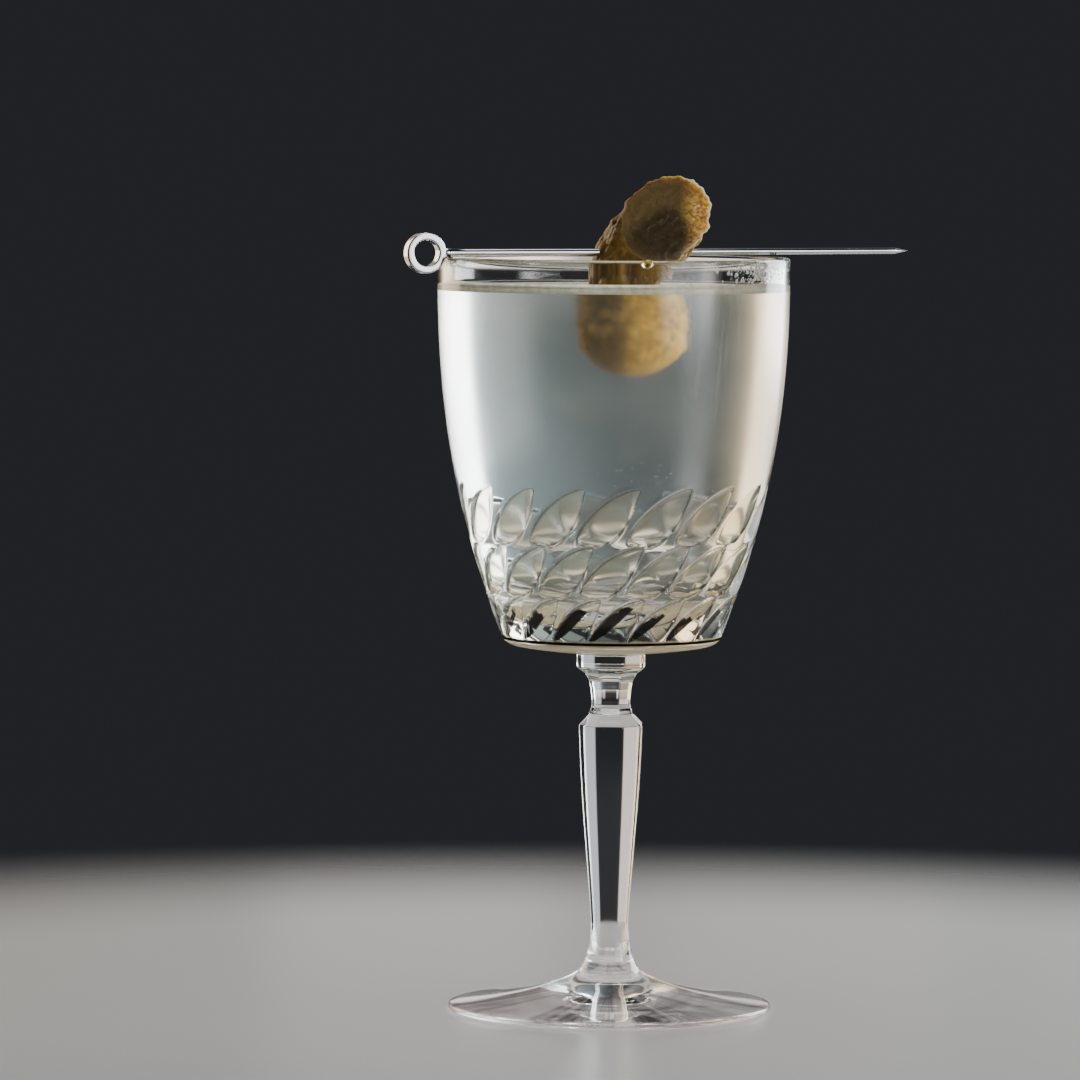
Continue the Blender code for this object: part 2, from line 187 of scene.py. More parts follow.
def steps_round(count: int) -> np.ndarray:
    """Returns so many even steps of a full turn, from 0."""
    return np.arange(count) * FULL_TURN / count


def around(radius: np.ndarray, turn: np.ndarray, height: np.ndarray) -> np.ndarray:
    """Returns the points at radii, turns round Z and heights whose shapes go together."""
    return np.stack(np.broadcast_arrays(radius * np.cos(turn), radius * np.sin(turn), height), axis=-1)


def turned(profile: np.ndarray, turn: np.ndarray) -> np.ndarray:
    """Returns the profile's (radius, height) points at every turn round Z, as (rows, columns, 3)."""
    return around(profile[:, 0, None], turn, profile[:, 1, None])


class Surface:
    """Closed surface under work, made of rings of points that are joined in order.

    Along the order, with a ring's turn running anticlockwise seen from above, a wall that is
    followed downwards faces away from the axis.
    """

    def __init__(self) -> None:
        """Starts with no points and no faces."""
        self.points: list[np.ndarray] = []
        self.count = 0
        self.faces: list[np.ndarray] = []

    def add(self, points: np.ndarray) -> np.ndarray:
        """Adds points of any array shape and returns their numbers in that shape."""
        numbers = self.count + np.arange(points[..., 0].size).reshape(points.shape[:-1])
        self.points.append(points.reshape(-1, 3))
        self.count += numbers.size
        return numbers

    def join(self, *corners: np.ndarray) -> None:
        """Adds faces whose corners' numbers stand at the same places of each array."""
        self.faces.append(np.stack(corners, axis=-1).reshape(-1, len(corners)))

    def rings(self, points: np.ndarray, before: np.ndarray) -> np.ndarray:
        """Adds rings and joins them in order.

        Args:
            points: An array of (rings, points round, 3).
            before: The ring that the first one is joined to.

        Returns:
            The last ring's numbers.
        """
        block = np.vstack([before[None], self.add(points)])
        here, there = block[:-1], block[1:]
        self.join(here, there, np.roll(there, -1, axis=1), np.roll(here, -1, axis=1))
        return block[-1]

    def begin(self, point: tuple, points: np.ndarray) -> np.ndarray:
        """Adds the first rings, closed with a fan from a point before them.

        Args:
            point: The point before the first ring.
            points: An array of (rings, points round, 3).

        Returns:
            The last ring's numbers.
        """
        first = self.add(points[:1])[0]
        pole = np.full(first.shape, self.add(np.array([point], float))[0])
        self.join(pole, first, np.roll(first, -1))
        return self.rings(points[1:], first)

    def end(self, ring: np.ndarray, point: tuple) -> None:
        """Closes the last ring with a fan to a point after it."""
        pole = np.full(ring.shape, self.add(np.array([point], float))[0])
        self.join(ring, pole, np.roll(ring, -1))

    def tube(self, points: np.ndarray) -> None:
        """Adds loops and joins them in order, and the last one to the first."""
        here = self.add(points)
        there = np.roll(here, -1, axis=0)
        self.join(here, np.roll(here, -1, axis=1), np.roll(there, -1, axis=1), there)

    def change(self, before: np.ndarray, after: np.ndarray) -> None:
        """Joins two rings, one of which has a whole number of points to each of the other's.

        The first half of a coarse span's fine edges meet its first end and the others its second,
        and one triangle closes the gap between them.
        """
        coarse, fine = sorted((before, after), key=len)
        ratio = len(fine) // len(coarse)
        half = ratio // 2
        following = np.roll(coarse, -1)
        edge = np.arange(len(fine))
        apex = np.where(edge % ratio < half, coarse[edge // ratio], following[edge // ratio])
        order = 1 if len(after) > len(before) else -1
        self.join(*(apex, fine)[::order], np.roll(fine, -1))
        self.join(*(coarse, fine[half::ratio])[::order], following)

    def to_object(self, name: str, material: bpy.types.Material) -> bpy.types.Object:
        """Makes the smooth-shaded object, with its points turned from millimetres into metres.

        Args:
            name: The piece's name.
            material: Its only material.

        Returns:
            The object, at the origin, in the scene.
        """
        points = np.vstack(self.points) * MM
        loops = np.concatenate([face.ravel() for face in self.faces])
        sizes = np.concatenate([np.full(len(face), face.shape[1]) for face in self.faces])
        mesh = bpy.data.meshes.new(name)
        mesh.vertices.add(len(points))
        mesh.vertices.foreach_set("co", points.astype(np.float32).ravel())
        mesh.loops.add(len(loops))
        mesh.loops.foreach_set("vertex_index", loops.astype(np.int32))
        mesh.polygons.add(len(sizes))
        mesh.polygons.foreach_set("loop_start", (np.cumsum(sizes) - sizes).astype(np.int32))
        mesh.polygons.foreach_set("use_smooth", np.ones(len(sizes), dtype=bool))
        mesh.update(calc_edges=True)
        mesh.validate()
        mesh.materials.append(material)
        made = bpy.data.objects.new(name, mesh)
        bpy.context.scene.collection.objects.link(made)
        return made


def store(piece: bpy.types.Object, name: str, values: np.ndarray) -> None:
    """Keeps one number for each of a piece's points, for its material to read by name."""
    attribute = piece.data.attributes.new(name, "FLOAT", "POINT")
    attribute.data.foreach_set("value", values.astype(np.float32).ravel())


class Graph:
    """A material's or a group's node tree, with short calls that add and wire nodes."""

    def __init__(self, tree: bpy.types.NodeTree) -> None:
        """Takes the tree and empties it."""
        self.tree = tree
        tree.nodes.clear()

    def node(self, kind: str, settings: dict | None = None, **sockets: object) -> bpy.types.Node:
        """Adds a node.

        Args:
            kind: The node's type without the ShaderNode in front.
            settings: The node's own properties.
            sockets: Inputs by name, with an underscore for each space: values or other sockets.

        Returns:
            The new node.
        """
        made = self.tree.nodes.new(f"ShaderNode{kind}")
        for name, value in (settings or {}).items():
            setattr(made, name, value)
        for name, value in sockets.items():
            self.feed(made.inputs[name.replace("_", " ")], value)
        return made

    def feed(self, socket: bpy.types.NodeSocket, value: object) -> None:
        """Gives a socket a plain value, or links another socket to it."""
        if isinstance(value, bpy.types.NodeSocket):
            self.tree.links.new(value, socket)
        else:
            socket.default_value = value

    def math(self, operation: str, *values: object) -> bpy.types.NodeSocket:
        """Returns the outcome of a Math node on up to three numbers or sockets."""
        made = self.tree.nodes.new("ShaderNodeMath")
        made.operation = operation
        for socket, value in zip(made.inputs, values):
            self.feed(socket, value)
        return made.outputs[0]

    def blend(self, share: object, first: object, second: object) -> bpy.types.NodeSocket:
        """Returns the colour between two colours at a share from 0 to 1."""
        made = self.tree.nodes.new("ShaderNodeMix")
        made.data_type = "RGBA"
        for index, value in ((0, share), (6, first), (7, second)):
            self.feed(made.inputs[index], value)
        return made.outputs[2]

    def ramp(self, value: object, low: float, high: float, start: float = 0.0, end: float = 1.0):
        """Returns the value carried smoothly from the low and high to the start and end."""
        made = self.node("MapRange", {"interpolation_type": "SMOOTHSTEP"}, Value=value)
        self.feed(made.inputs["From Min"], low)
        self.feed(made.inputs["From Max"], high)
        self.feed(made.inputs["To Min"], start)
        self.feed(made.inputs["To Max"], end)
        return made.outputs["Result"]

    def noise(self, vector: object, scale: object, detail: float = 3.0, rough: float = 0.5):
        """Returns the value of a Noise texture at so many features to the metre."""
        made = self.node("TexNoise", Vector=vector, Scale=scale, Detail=detail, Roughness=rough)
        return made.outputs["Fac"]

    def position(self) -> bpy.types.NodeSocket:
        """Returns the Object coordinates."""
        return self.node("TexCoord").outputs["Object"]

    def attribute(self, name: str) -> bpy.types.NodeSocket:
        """Returns the number that the mesh keeps under a name."""
        return self.node("Attribute", {"attribute_name": name}).outputs["Fac"]

    def product(self, *values: object) -> bpy.types.NodeSocket:
        """Returns the values multiplied in order."""
        made = values[0]
        for value in values[1:]:
            made = self.math("MULTIPLY", made, value)
        return made

    def band(self, value: object, low: float, lower: float, upper: float, high: float):
        """Returns a share that rises from the low to the lower and falls from the upper to the high."""
        return self.product(self.ramp(value, low, lower), self.ramp(value, upper, high, 1.0, 0.0))

    def vector(self, operation: str, *values: object) -> bpy.types.Node:
        """Returns a Vector Math node on vectors."""
        made = self.node("VectorMath", {"operation": operation})
        for socket, value in zip(made.inputs, values):
            self.feed(socket, value)
        return made

    def over(self, share: object, below: object, above: object) -> bpy.types.NodeSocket:
        """Returns a shader that shows the upper one at the share and the lower one elsewhere."""
        mix = self.node("MixShader", Fac=share)
        self.feed(mix.inputs[1], below)
        self.feed(mix.inputs[2], above)
        return mix.outputs[0]

    def lit_through(self, surface: object, face_on: float, aslant: float) -> bpy.types.NodeSocket:
        """Lets lamps shine straight through a clear surface, less so where it is seen aslant.

        Args:
            surface: The shader that all other rays meet.
            face_on: Share of the light that passes face on.
            aslant: Share of it that passes at a glancing angle.

        Returns:
            The shader for all rays.
        """
        facing = self.node("LayerWeight", Blend=0.3).outputs["Facing"]
        share = self.ramp(facing, 0.2, 1.0, face_on, aslant)
        clear = self.node("BsdfTransparent", Color=self.blend(share, BLACK, WHITE))
        return self.over(self.node("LightPath").outputs["Is Shadow Ray"], surface, clear.outputs[0])


def colour(red: float, green: float, blue: float) -> tuple[float, float, float, float]:
    """Returns a display colour, given from 0 to 255, as the linear colour that shaders take."""
    share = np.array([red, green, blue]) / 255
    linear = np.where(share <= 0.04045, share / 12.92, ((share + 0.055) / 1.055) ** 2.4)
    return (*(float(value) for value in linear), 1.0)


def new_material(name: str) -> tuple[bpy.types.Material, Graph, bpy.types.Node]:
    """Returns a new material, its graph and its output node."""
    made = bpy.data.materials.new(name)
    made.use_nodes = True
    graph = Graph(made.node_tree)
    return made, graph, graph.node("OutputMaterial")


def new_group(name: str, numbers: dict[str, float], results: tuple[str, ...]) -> tuple:
    """Starts a node group that takes a Vector and numbers and gives numbers.

    Args:
        name: The group's name.
        numbers: Its numbers by name, with the values that they start from.
        results: The names of what it gives.

    Returns:
        The group, its graph, its inputs as its own nodes see them, and its outputs likewise.
    """
    group = bpy.data.node_groups.new(name, "ShaderNodeTree")
    face = group.interface
    face.new_socket("Vector", in_out="INPUT", socket_type="NodeSocketVector")
    for label, value in numbers.items():
        face.new_socket(label, in_out="INPUT", socket_type="NodeSocketFloat").default_value = value
    for label in results:
        face.new_socket(label, in_out="OUTPUT", socket_type="NodeSocketFloat")
    graph = Graph(group)
    source, goal = group.nodes.new("NodeGroupInput"), group.nodes.new("NodeGroupOutput")
    return group, graph, source.outputs, goal.inputs


def smudge_group() -> bpy.types.NodeTree:
    """Makes the group that wets and smears a polished surface.

    Its mask is a coarse noise times a fine one, so that it is patchy like finger marks, and its
    height is a slow swell like that of hand-finished work.

    Returns:
        The group, with inputs Vector, Patch and Grain and outputs Mask and Height.
    """
    group, graph, taken, given = new_group("smudges", {"Patch": 60.0, "Grain": 900.0}, ("Mask", "Height"))
    patches = graph.noise(taken["Vector"], taken["Patch"], 4.0)
    swells = graph.noise(taken["Vector"], taken["Patch"], 0.0)
    grains = graph.noise(taken["Vector"], taken["Grain"], 2.0)
    graph.feed(given["Mask"], graph.product(graph.ramp(patches, 0.45, 0.75), graph.ramp(grains, 0.3, 0.8)))
    graph.feed(given["Height"], swells)
    return group


def mottle_group() -> bpy.types.NodeTree:
    """Makes the group of uneven pickled tone, from a broad noise.

    Returns:
        The group, with inputs Vector and Patch and output Tone.
    """
    group, graph, taken, given = new_group("mottle", {"Patch": 150.0}, ("Tone",))
    patches = graph.noise(taken["Vector"], taken["Patch"], 5.0, 0.6)
    graph.feed(given["Tone"], graph.ramp(patches, 0.3, 0.7))
    return group


@dataclass(frozen=True)
class ClearFinish:
    """A clear body: glass or water. Lamps shine straight through it, as far as shadows go."""

    name: str
    ior: float
    tint: Colour = (1.0, 1.0, 1.0, 1.0)
    roughness: float = 0.0
    smudged: float = 0.05
    swell: float = 0.00003
    shade: float = 0.82

    def build(self, smudges: bpy.types.NodeTree) -> bpy.types.Material:
        """Makes the material.

        Args:
            smudges: The group of smears and swells.

        Returns:
            The material.
        """
        made, graph, output = new_material(self.name)
        marks = graph.node("Group", {"node_tree": smudges}, Vector=graph.position())
        rough = graph.math("MULTIPLY_ADD", marks.outputs["Mask"], self.smudged, self.roughness)
        bump = graph.node("Bump", Height=marks.outputs["Height"], Distance=self.swell, Strength=1.0)
        shader = graph.node("BsdfPrincipled", Base_Color=self.tint, Roughness=rough, IOR=self.ior)
        graph.feed(shader.inputs["Transmission Weight"], 1.0)
        graph.feed(shader.inputs["Normal"], bump.outputs["Normal"])
        lit = graph.lit_through(shader.outputs[0], self.shade + 0.12, self.shade - 0.3)
        graph.feed(output.inputs["Surface"], lit)
        return made


@dataclass(frozen=True)
class DewyGlassFinish:
    """The goblet's glass, with a thin cold dew on its outside where the drink chills it.

    The dew blurs what is seen through it a little. On the far wall, seen from inside, it scatters
    some of the light that falls on it from behind, which makes the cold part glow.
    """

    name: str = "clear_glass"
    ior: float = 1.5
    roughness: float = 0.0
    dew_heights: Band = (0.0785, 0.084, 0.1562, 0.1572)
    blur_heights: Range = (0.112, 0.124)
    dew: float = 0.03
    blur: float = 0.16
    dew_tint: Colour = (0.62, 0.9, 0.92, 1.0)
    flecks: float = 1.5
    fleck_heights: tuple[float, float, float] = (0.102, 0.12, 0.007)
    satin: float = 0.12
    satin_heights: Range = (0.089, 0.099)
    # painted shade: near-black on the lowest leaf cuts, below these heights
    deep_heights: Range = (0.0816, 0.0822)
    soot: float = 0.65
    # painted light across each leaf cut: a pale tint at its lower edge that turns golden and darker towards
    # its upper one
    leaf_low: Colour = (1.0, 0.95, 0.83, 1.0)
    leaf_high: Colour = (0.85, 0.76, 0.57, 1.0)
    leaf_dark: Colour = (0.006, 0.005, 0.004, 1.0)
    # painted shade: the dark line along the edges of each leaf cut
    leaf_edge: Colour = (0.1, 0.085, 0.06, 1.0)
    outlined: float = 0.85
    # painted light and shade under the bowl: a warm painted glow, and black painted shade at the crease,
    # also laid on the lowest leaves
    under_tint: Colour = (0.8, 0.66, 0.42, 1.0)
    under_share: float = 0.45
    crease_tint: Colour = (0.004, 0.004, 0.004, 1.0)
    crease_heights: Band = (0.0807, 0.081, 0.0814, 0.0817)
    run: float = 0.3
    run_sides: Band = (0.011, 0.017, 0.024, 0.03)
    run_heights: Range = (0.118, 0.15)
    etched: float = 0.035
    etched_tint: Colour = (0.9, 0.76, 0.5, 1.0)
    # a thin matte layer under the foot, in painted reflection streaks from dark to pale
    ground: float = 0.26
    ground_reach: Range = (0.007, 0.016)
    ground_low: Colour = (0.1, 0.085, 0.085, 1.0)
    ground_high: Colour = (1.0, 0.92, 0.92, 1.0)
    smudged: float = 0.05
    swell: float = 0.00002
    shade: Range = (0.94, 0.5)
    dew_patches: float = 70.0
    fleck_patches: float = 240.0
    # noise scales of the painted shade's wandering edge and of its breaks on the lowest leaves
    blade_wander: float = 260.0
    blade_breaks: float = 420.0
    run_streaks: float = 620.0
    run_grains: float = 1500.0

    def build(self, smudges: bpy.types.NodeTree) -> bpy.types.Material:
        """Makes the material from the attributes outside, leaf, leaf_across and under of the mesh.

        Args:
            smudges: The group of smears and swells.

        Returns:
            The material.
        """
        made, graph, output = new_material(self.name)
        position = graph.position()
        height = graph.node("SeparateXYZ", Vector=position).outputs["Z"]
        names = ("outside", "leaf", "leaf_across", "under")
        outside, leaf, across, under = (graph.attribute(name) for name in names)
        cold = graph.product(graph.band(height, *self.dew_heights), outside)
        patchy = graph.ramp(graph.noise(position, self.dew_patches, 4.0), 0.3, 0.7, 0.75, 1.15)
        flecks = graph.noise(position, self.fleck_patches, 6.0, 0.65)
        cloudy = graph.ramp(flecks, 0.5, 0.6, 0.0, self.flecks)
        low, high, fade = self.fleck_heights
        there = graph.band(height, low, low + fade, high - fade, high)
        dew = graph.product(cold, graph.math("MULTIPLY_ADD", cloudy, there, patchy))

        marks = graph.node("Group", {"node_tree": smudges}, Vector=position)
        blurred = graph.product(dew, graph.ramp(height, *self.blur_heights), self.blur)
        smeared = graph.math("MULTIPLY_ADD", marks.outputs["Mask"], self.smudged, self.roughness)
        bump = graph.node("Bump", Height=marks.outputs["Height"], Distance=self.swell, Strength=1.0)
        satin = graph.ramp(height, *self.satin_heights, 0.15 * self.satin, self.satin)
        rough = graph.math("MULTIPLY_ADD", leaf, satin, graph.math("ADD", blurred, smeared))
        # near-black painted shade on the upper halves of the lowest leaves, with a wandering edge; small
        # breaks in it let the leaf tint through as painted glints
        wander = graph.noise(position, self.blade_wander, 2.0)
        uneven = graph.math("MULTIPLY_ADD", wander, -0.012, height)
        deep = graph.ramp(uneven, *self.deep_heights, 1.0, 0.0)
        # painted light across each leaf: pale at its lower edge, golden and darker towards its upper edge
        tint = graph.blend(graph.ramp(across, 0.3, 0.95), self.leaf_low, self.leaf_high)
        glints = graph.ramp(graph.noise(position, self.blade_breaks, 1.0), 0.66, 0.68, 1.0, 0.0)
        dark = graph.product(deep, glints, graph.ramp(across, 0.52, 0.58))
        tint = graph.blend(dark, tint, self.leaf_dark)
        # a dark painted shade line along the edges of each leaf
        outline = graph.product(leaf, graph.math("SUBTRACT", 1.0, leaf), 4.0 * self.outlined)
        base = graph.blend(outline, graph.blend(leaf, WHITE, tint), self.leaf_edge)
        # under the bowl the glass is painted with a warm glow and, at the crease, a black shade line
        crease = graph.band(height, *self.crease_heights)
        below = graph.blend(crease, self.under_tint, self.crease_tint)
        base = graph.blend(under, base, below)
        shader = graph.node("BsdfPrincipled", Base_Color=base, Roughness=rough, IOR=self.ior)
        graph.feed(shader.inputs["Transmission Weight"], 1.0)
        graph.feed(shader.inputs["Normal"], bump.outputs["Normal"])

        from_inside = graph.node("NewGeometry").outputs["Backfacing"]
        etching = graph.product(leaf, graph.ramp(height, *self.satin_heights, 0.0, self.etched))
        lit = graph.ramp(crease, 0.0, 1.0, self.under_share, 0.96)
        reach = graph.vector("LENGTH", position).outputs["Value"]
        # a thin matte layer on the foot's underside, lit by the lamps, whose colour runs in radial streaks
        # from dark to pale as painted reflections
        ground = graph.product(graph.ramp(height, 0.0002, 0.0006, self.ground, 0.0), from_inside)
        ground = graph.product(ground, graph.ramp(reach, *self.ground_reach))
        rays = graph.vector("NORMALIZE", position).outputs[0]
        streaks = graph.ramp(graph.noise(rays, 4.0, 5.0, 0.7), 0.4, 0.6)
        ground_tint = graph.blend(streaks, self.ground_low, self.ground_high)
        layers = (
            (graph.product(dew, from_inside, self.dew), "Translucent", self.dew_tint),
            (etching, "Translucent", self.etched_tint),
            (self.runs(graph, position, outside), "Diffuse", (0.8, 0.8, 0.8, 1.0)),
            # the same painted glow and shade under the bowl, as a matte layer
            (graph.product(under, lit), "Diffuse", below),
            # a near-black matte sheet over the painted shade of the lowest leaves
            (graph.product(dark, leaf, self.soot), "Diffuse", self.crease_tint),
            (ground, "Diffuse", ground_tint),
        )
        filmed = shader.outputs[0]
        for share, kind, colour_of_it in layers:
            layer = graph.node(f"Bsdf{kind}", Color=colour_of_it)
            filmed = graph.over(share, filmed, layer.outputs[0])
        graph.feed(output.inputs["Surface"], graph.lit_through(filmed, *self.shade))
        return made

    def runs(self, graph: Graph, position: object, outside: object) -> bpy.types.NodeSocket:
        """Works out where dew has run down the near wall at the right, in thin upright streaks.

        The streaks are a noise that is drawn out along Z, broken up by a finer one, and they die
        out towards the edges of their patch of the wall.

        Args:
            graph: The material's graph.
            position: The place on the glass.
            outside: The mask of the outside.

        Returns:
            The share of the surface that the dew covers.
        """
        drawn_out = graph.vector("MULTIPLY", position, (1.0, 1.0, 0.06)).outputs[0]
        streaks = graph.ramp(graph.noise(drawn_out, self.run_streaks, 3.0, 0.6), 0.45, 0.66)
        grains = graph.ramp(graph.noise(position, self.run_grains, 2.0), 0.35, 0.65, 0.3, 1.0)
        spot = graph.node("SeparateXYZ", Vector=position).outputs
        patch = graph.band(spot["X"], *self.run_sides)
        patch = graph.product(patch, graph.ramp(spot["Z"], *self.run_heights))
        patch = graph.product(patch, graph.math("LESS_THAN", spot["Y"], 0.0))
        return graph.product(patch, graph.product(streaks, grains), outside, self.run)


@dataclass(frozen=True)
class DrinkFinish:
    """The cloudy drink: a clear surface over a body that scatters light."""

    name: str = "cloudy_drink"
    ior: float = 1.34
    tint: Colour = (0.97, 1.0, 0.97, 1.0)
    haze: Colour = (0.76, 0.94, 0.96, 1.0)
    density: float = 2.2
    forward: float = 0.35
    clear: float = 0.95

    def build(self) -> bpy.types.Material:
        """Makes the material, with lamps shining straight through its surface into the haze."""
        made, graph, output = new_material(self.name)
        shader = graph.node("BsdfPrincipled", Base_Color=self.tint, Roughness=0.0, IOR=self.ior)
        graph.feed(shader.inputs["Transmission Weight"], 1.0)
        clear = graph.node("BsdfTransparent", Color=(self.clear, self.clear, self.clear, 1.0))
        shadow = graph.node("LightPath").outputs["Is Shadow Ray"]
        graph.feed(output.inputs["Surface"], graph.over(shadow, shader.outputs[0], clear.outputs[0]))
        haze = graph.node("VolumeScatter", Color=self.haze, Density=self.density, Anisotropy=self.forward)
        graph.feed(output.inputs["Volume"], haze.outputs[0])
        return made


@dataclass(frozen=True)
class PaleFinish:
    """Brine where it is too cloudy to see through: films, splashes and specks."""

    name: str
    tint: Colour = (1.0, 0.98, 0.86, 1.0)
    roughness: float = 0.4
    through: float = 0.1
    lit_through: float = 0.82
    cloud: float = 700.0

    def build(self) -> bpy.types.Material:
        """Makes the material, whose tint and gloss vary a little from place to place."""
        made, graph, output = new_material(self.name)
        patches = graph.noise(graph.position(), self.cloud, 3.0)
        paler = tuple(0.82 * value for value in self.tint[:3]) + (1.0,)
        base = graph.blend(graph.ramp(patches, 0.35, 0.65), paler, self.tint)
        rough = graph.ramp(patches, 0.3, 0.7, self.roughness, 0.6 * self.roughness)
        shader = graph.node("BsdfPrincipled", Base_Color=base, Roughness=rough, IOR=1.36)
        graph.feed(shader.inputs["Transmission Weight"], self.through)
        lit = graph.node("BsdfTranslucent", Color=base)
        graph.feed(output.inputs["Surface"], graph.over(self.lit_through, shader.outputs[0], lit.outputs[0]))
        return made


@dataclass(frozen=True)
class GherkinFinish:
    """Wet pickled skin, and the cut face with its layers and its dark seed bed.

    Light and shade are painted in: a golden glow with glints on the face's right side, a highlight on
    its right edge, a golden glow on the right of the part in the drink and shade on the skin's back half.
    """

    name: str = "pickled_gherkin"
    skin: tuple = colour(148, 118, 58)
    skin_dark: tuple = colour(98, 76, 34)
    wart: tuple = colour(170, 138, 74)
    # painted light on the right of the part in the drink
    sunk_gold: tuple = colour(255, 206, 92)
    flesh: tuple = colour(114, 94, 54)
    layer: tuple = colour(90, 72, 38)
    core: tuple = colour(60, 45, 16)
    # painted light on the cut face's right side: a golden glow with cream glints
    gold: tuple = colour(236, 190, 84)
    amber: tuple = colour(164, 124, 54)
    glint: tuple = colour(255, 240, 200)
    # painted highlight along the cut face's right edge
    lip: tuple = colour(240, 216, 172)
    rim: tuple = colour(106, 84, 46)
    grains: float = 1100.0
    streaks: float = 420.0
    wetness: float = 0.12
    level: float = 0.157
    gold_from: Range = (-0.001, 0.006)
    # painted shade on the back of the skin
    behind_from: Range = (0.004, 0.008)
    core_heights: Range = (0.1665, 0.175)
    # heights over which the painted glow on the cut face weakens
    gold_heights: Range = (0.174, 0.18)

    def build(self, mottle: bpy.types.NodeTree) -> bpy.types.Material:
        """Makes the material from the attributes flesh, ring, side and wart that the mesh keeps.

        Args:
            mottle: The group of uneven tone.

        Returns:
            The material.
        """
        made, graph, output = new_material(self.name)
        place_on_it = graph.position()
        tone = graph.node("Group", {"node_tree": mottle}, Vector=place_on_it)
        ring, side, flesh, wart = (graph.attribute(name) for name in ("ring", "side", "flesh", "wart"))
        grain = graph.noise(place_on_it, self.grains, 4.0)
        streaks = graph.noise(place_on_it, self.streaks, 4.0, 0.65)
        skin = graph.blend(tone.outputs["Tone"], self.skin_dark, self.skin)
        skin = graph.blend(graph.ramp(wart, 0.05, 0.8, 0.0, 0.75), skin, self.wart)
        skin = graph.blend(graph.ramp(grain, 0.5, 0.75, 0.0, 0.6), skin, self.skin_dark)
        spot = graph.node("SeparateXYZ", Vector=place_on_it).outputs
        sunk = graph.ramp(spot["Z"], self.level - 0.0002, self.level + 0.0002, 1.0, 0.0)
        # painted light: the part in the drink turns golden in streaky patches towards its right
        bleached = graph.math("MULTIPLY", sunk, graph.ramp(spot["X"], *self.gold_from))
        # painted shade: the back half of the skin is darkened towards the seed bed's colour, and the painted
        # light on the part in the drink stays off it
        behind = graph.ramp(spot["Y"], *self.behind_from)
        skin = graph.blend(graph.math("MULTIPLY", behind, 0.85), skin, self.core)
        bleached = graph.math("MULTIPLY", bleached, graph.math("SUBTRACT", 1.0, behind))
        patchy = graph.ramp(streaks, 0.35, 0.6, 0.95, 0.55)
        skin = graph.blend(graph.math("MULTIPLY", bleached, patchy), skin, self.sunk_gold)
        wander = graph.math("MULTIPLY_ADD", streaks, 0.32, ring)
        layers = graph.math("SINE", graph.math("MULTIPLY", wander, 26.0))
        inner = graph.blend(graph.ramp(layers, -1.6, 1.6, 0.2, 0.8), self.layer, self.flesh)
        inner = graph.blend(graph.ramp(streaks, 0.45, 0.62, 0.0, 0.5), inner, self.layer)
        low = graph.math("ADD", wander, graph.ramp(spot["Z"], *self.core_heights, -0.3, 0.42))
        inner = graph.blend(graph.ramp(low, 0.55, 1.1, 1.0, 0.0), inner, self.core)
        # painted light: over the seeds on the cut face's right side, a golden glow with painted glints,
        # weaker higher up
        golden = graph.blend(graph.ramp(grain, 0.4, 0.6), self.amber, self.gold)
        golden = graph.blend(graph.ramp(streaks, 0.58, 0.68), golden, self.glint)
        seed_bed = graph.math("MULTIPLY", side, graph.ramp(low, 0.5, 0.9, 0.0, 0.85))
        seed_bed = graph.math("MULTIPLY", seed_bed, graph.ramp(spot["Z"], *self.gold_heights, 1.0, 0.35))
        inner = graph.blend(seed_bed, inner, golden)
        # the cut face's edge: a painted highlight on its right side, the rim colour elsewhere
        edge = graph.blend(side, self.rim, self.lip)
        inner = graph.blend(graph.ramp(ring, 0.93, 0.99, 0.0, 0.8), inner, edge)
        base = graph.blend(flesh, skin, inner)
        height = graph.math("ADD", grain, graph.math("MULTIPLY", streaks, 2.0))
        bump = graph.node("Bump", Height=height, Distance=0.00016, Strength=0.9)
        gloss = graph.ramp(grain, 0.3, 0.8, 0.32, 0.55)
        rough = graph.math("MAXIMUM", gloss, graph.math("MULTIPLY", sunk, 0.9))
        shader = graph.node("BsdfPrincipled", Base_Color=base, Roughness=rough, IOR=1.4)
        graph.feed(shader.inputs["Subsurface Weight"], 0.55)
        graph.feed(shader.inputs["Subsurface Radius"], (1.0, 0.6, 0.2))
        graph.feed(shader.inputs["Subsurface Scale"], 0.004)
        graph.feed(shader.inputs["Specular IOR Level"], 0.3)
        wet = graph.math("MULTIPLY_ADD", sunk, -self.wetness, self.wetness)
        graph.feed(shader.inputs["Coat Weight"], wet)
        graph.feed(shader.inputs["Coat Roughness"], 0.18)
        graph.feed(shader.inputs["Normal"], bump.outputs["Normal"])
        graph.feed(output.inputs["Surface"], shader.outputs[0])
        return made


@dataclass(frozen=True)
class SteelFinish:
    """Polished stainless steel with faint smears."""

    name: str = "polished_steel"
    tint: tuple = (0.78, 0.78, 0.8, 1.0)
    roughness: float = 0.07
    smeared: float = 0.16

    def build(self, smudges: bpy.types.NodeTree) -> bpy.types.Material:
        """Makes the material, its roughness and slow swell from the group of smears."""
        made, graph, output = new_material(self.name)
        place_on_it = graph.position()
        marks = graph.node("Group", {"node_tree": smudges}, Vector=place_on_it, Patch=180.0, Grain=2400.0)
        rough = graph.math("MULTIPLY_ADD", marks.outputs["Mask"], self.smeared, self.roughness)
        bump = graph.node("Bump", Height=marks.outputs["Height"], Distance=0.00004, Strength=0.5)
        shader = graph.node("BsdfPrincipled", Base_Color=self.tint, Roughness=rough, Metallic=1.0)
        graph.feed(shader.inputs["Normal"], bump.outputs["Normal"])
        graph.feed(output.inputs["Surface"], shader.outputs[0])
        return made


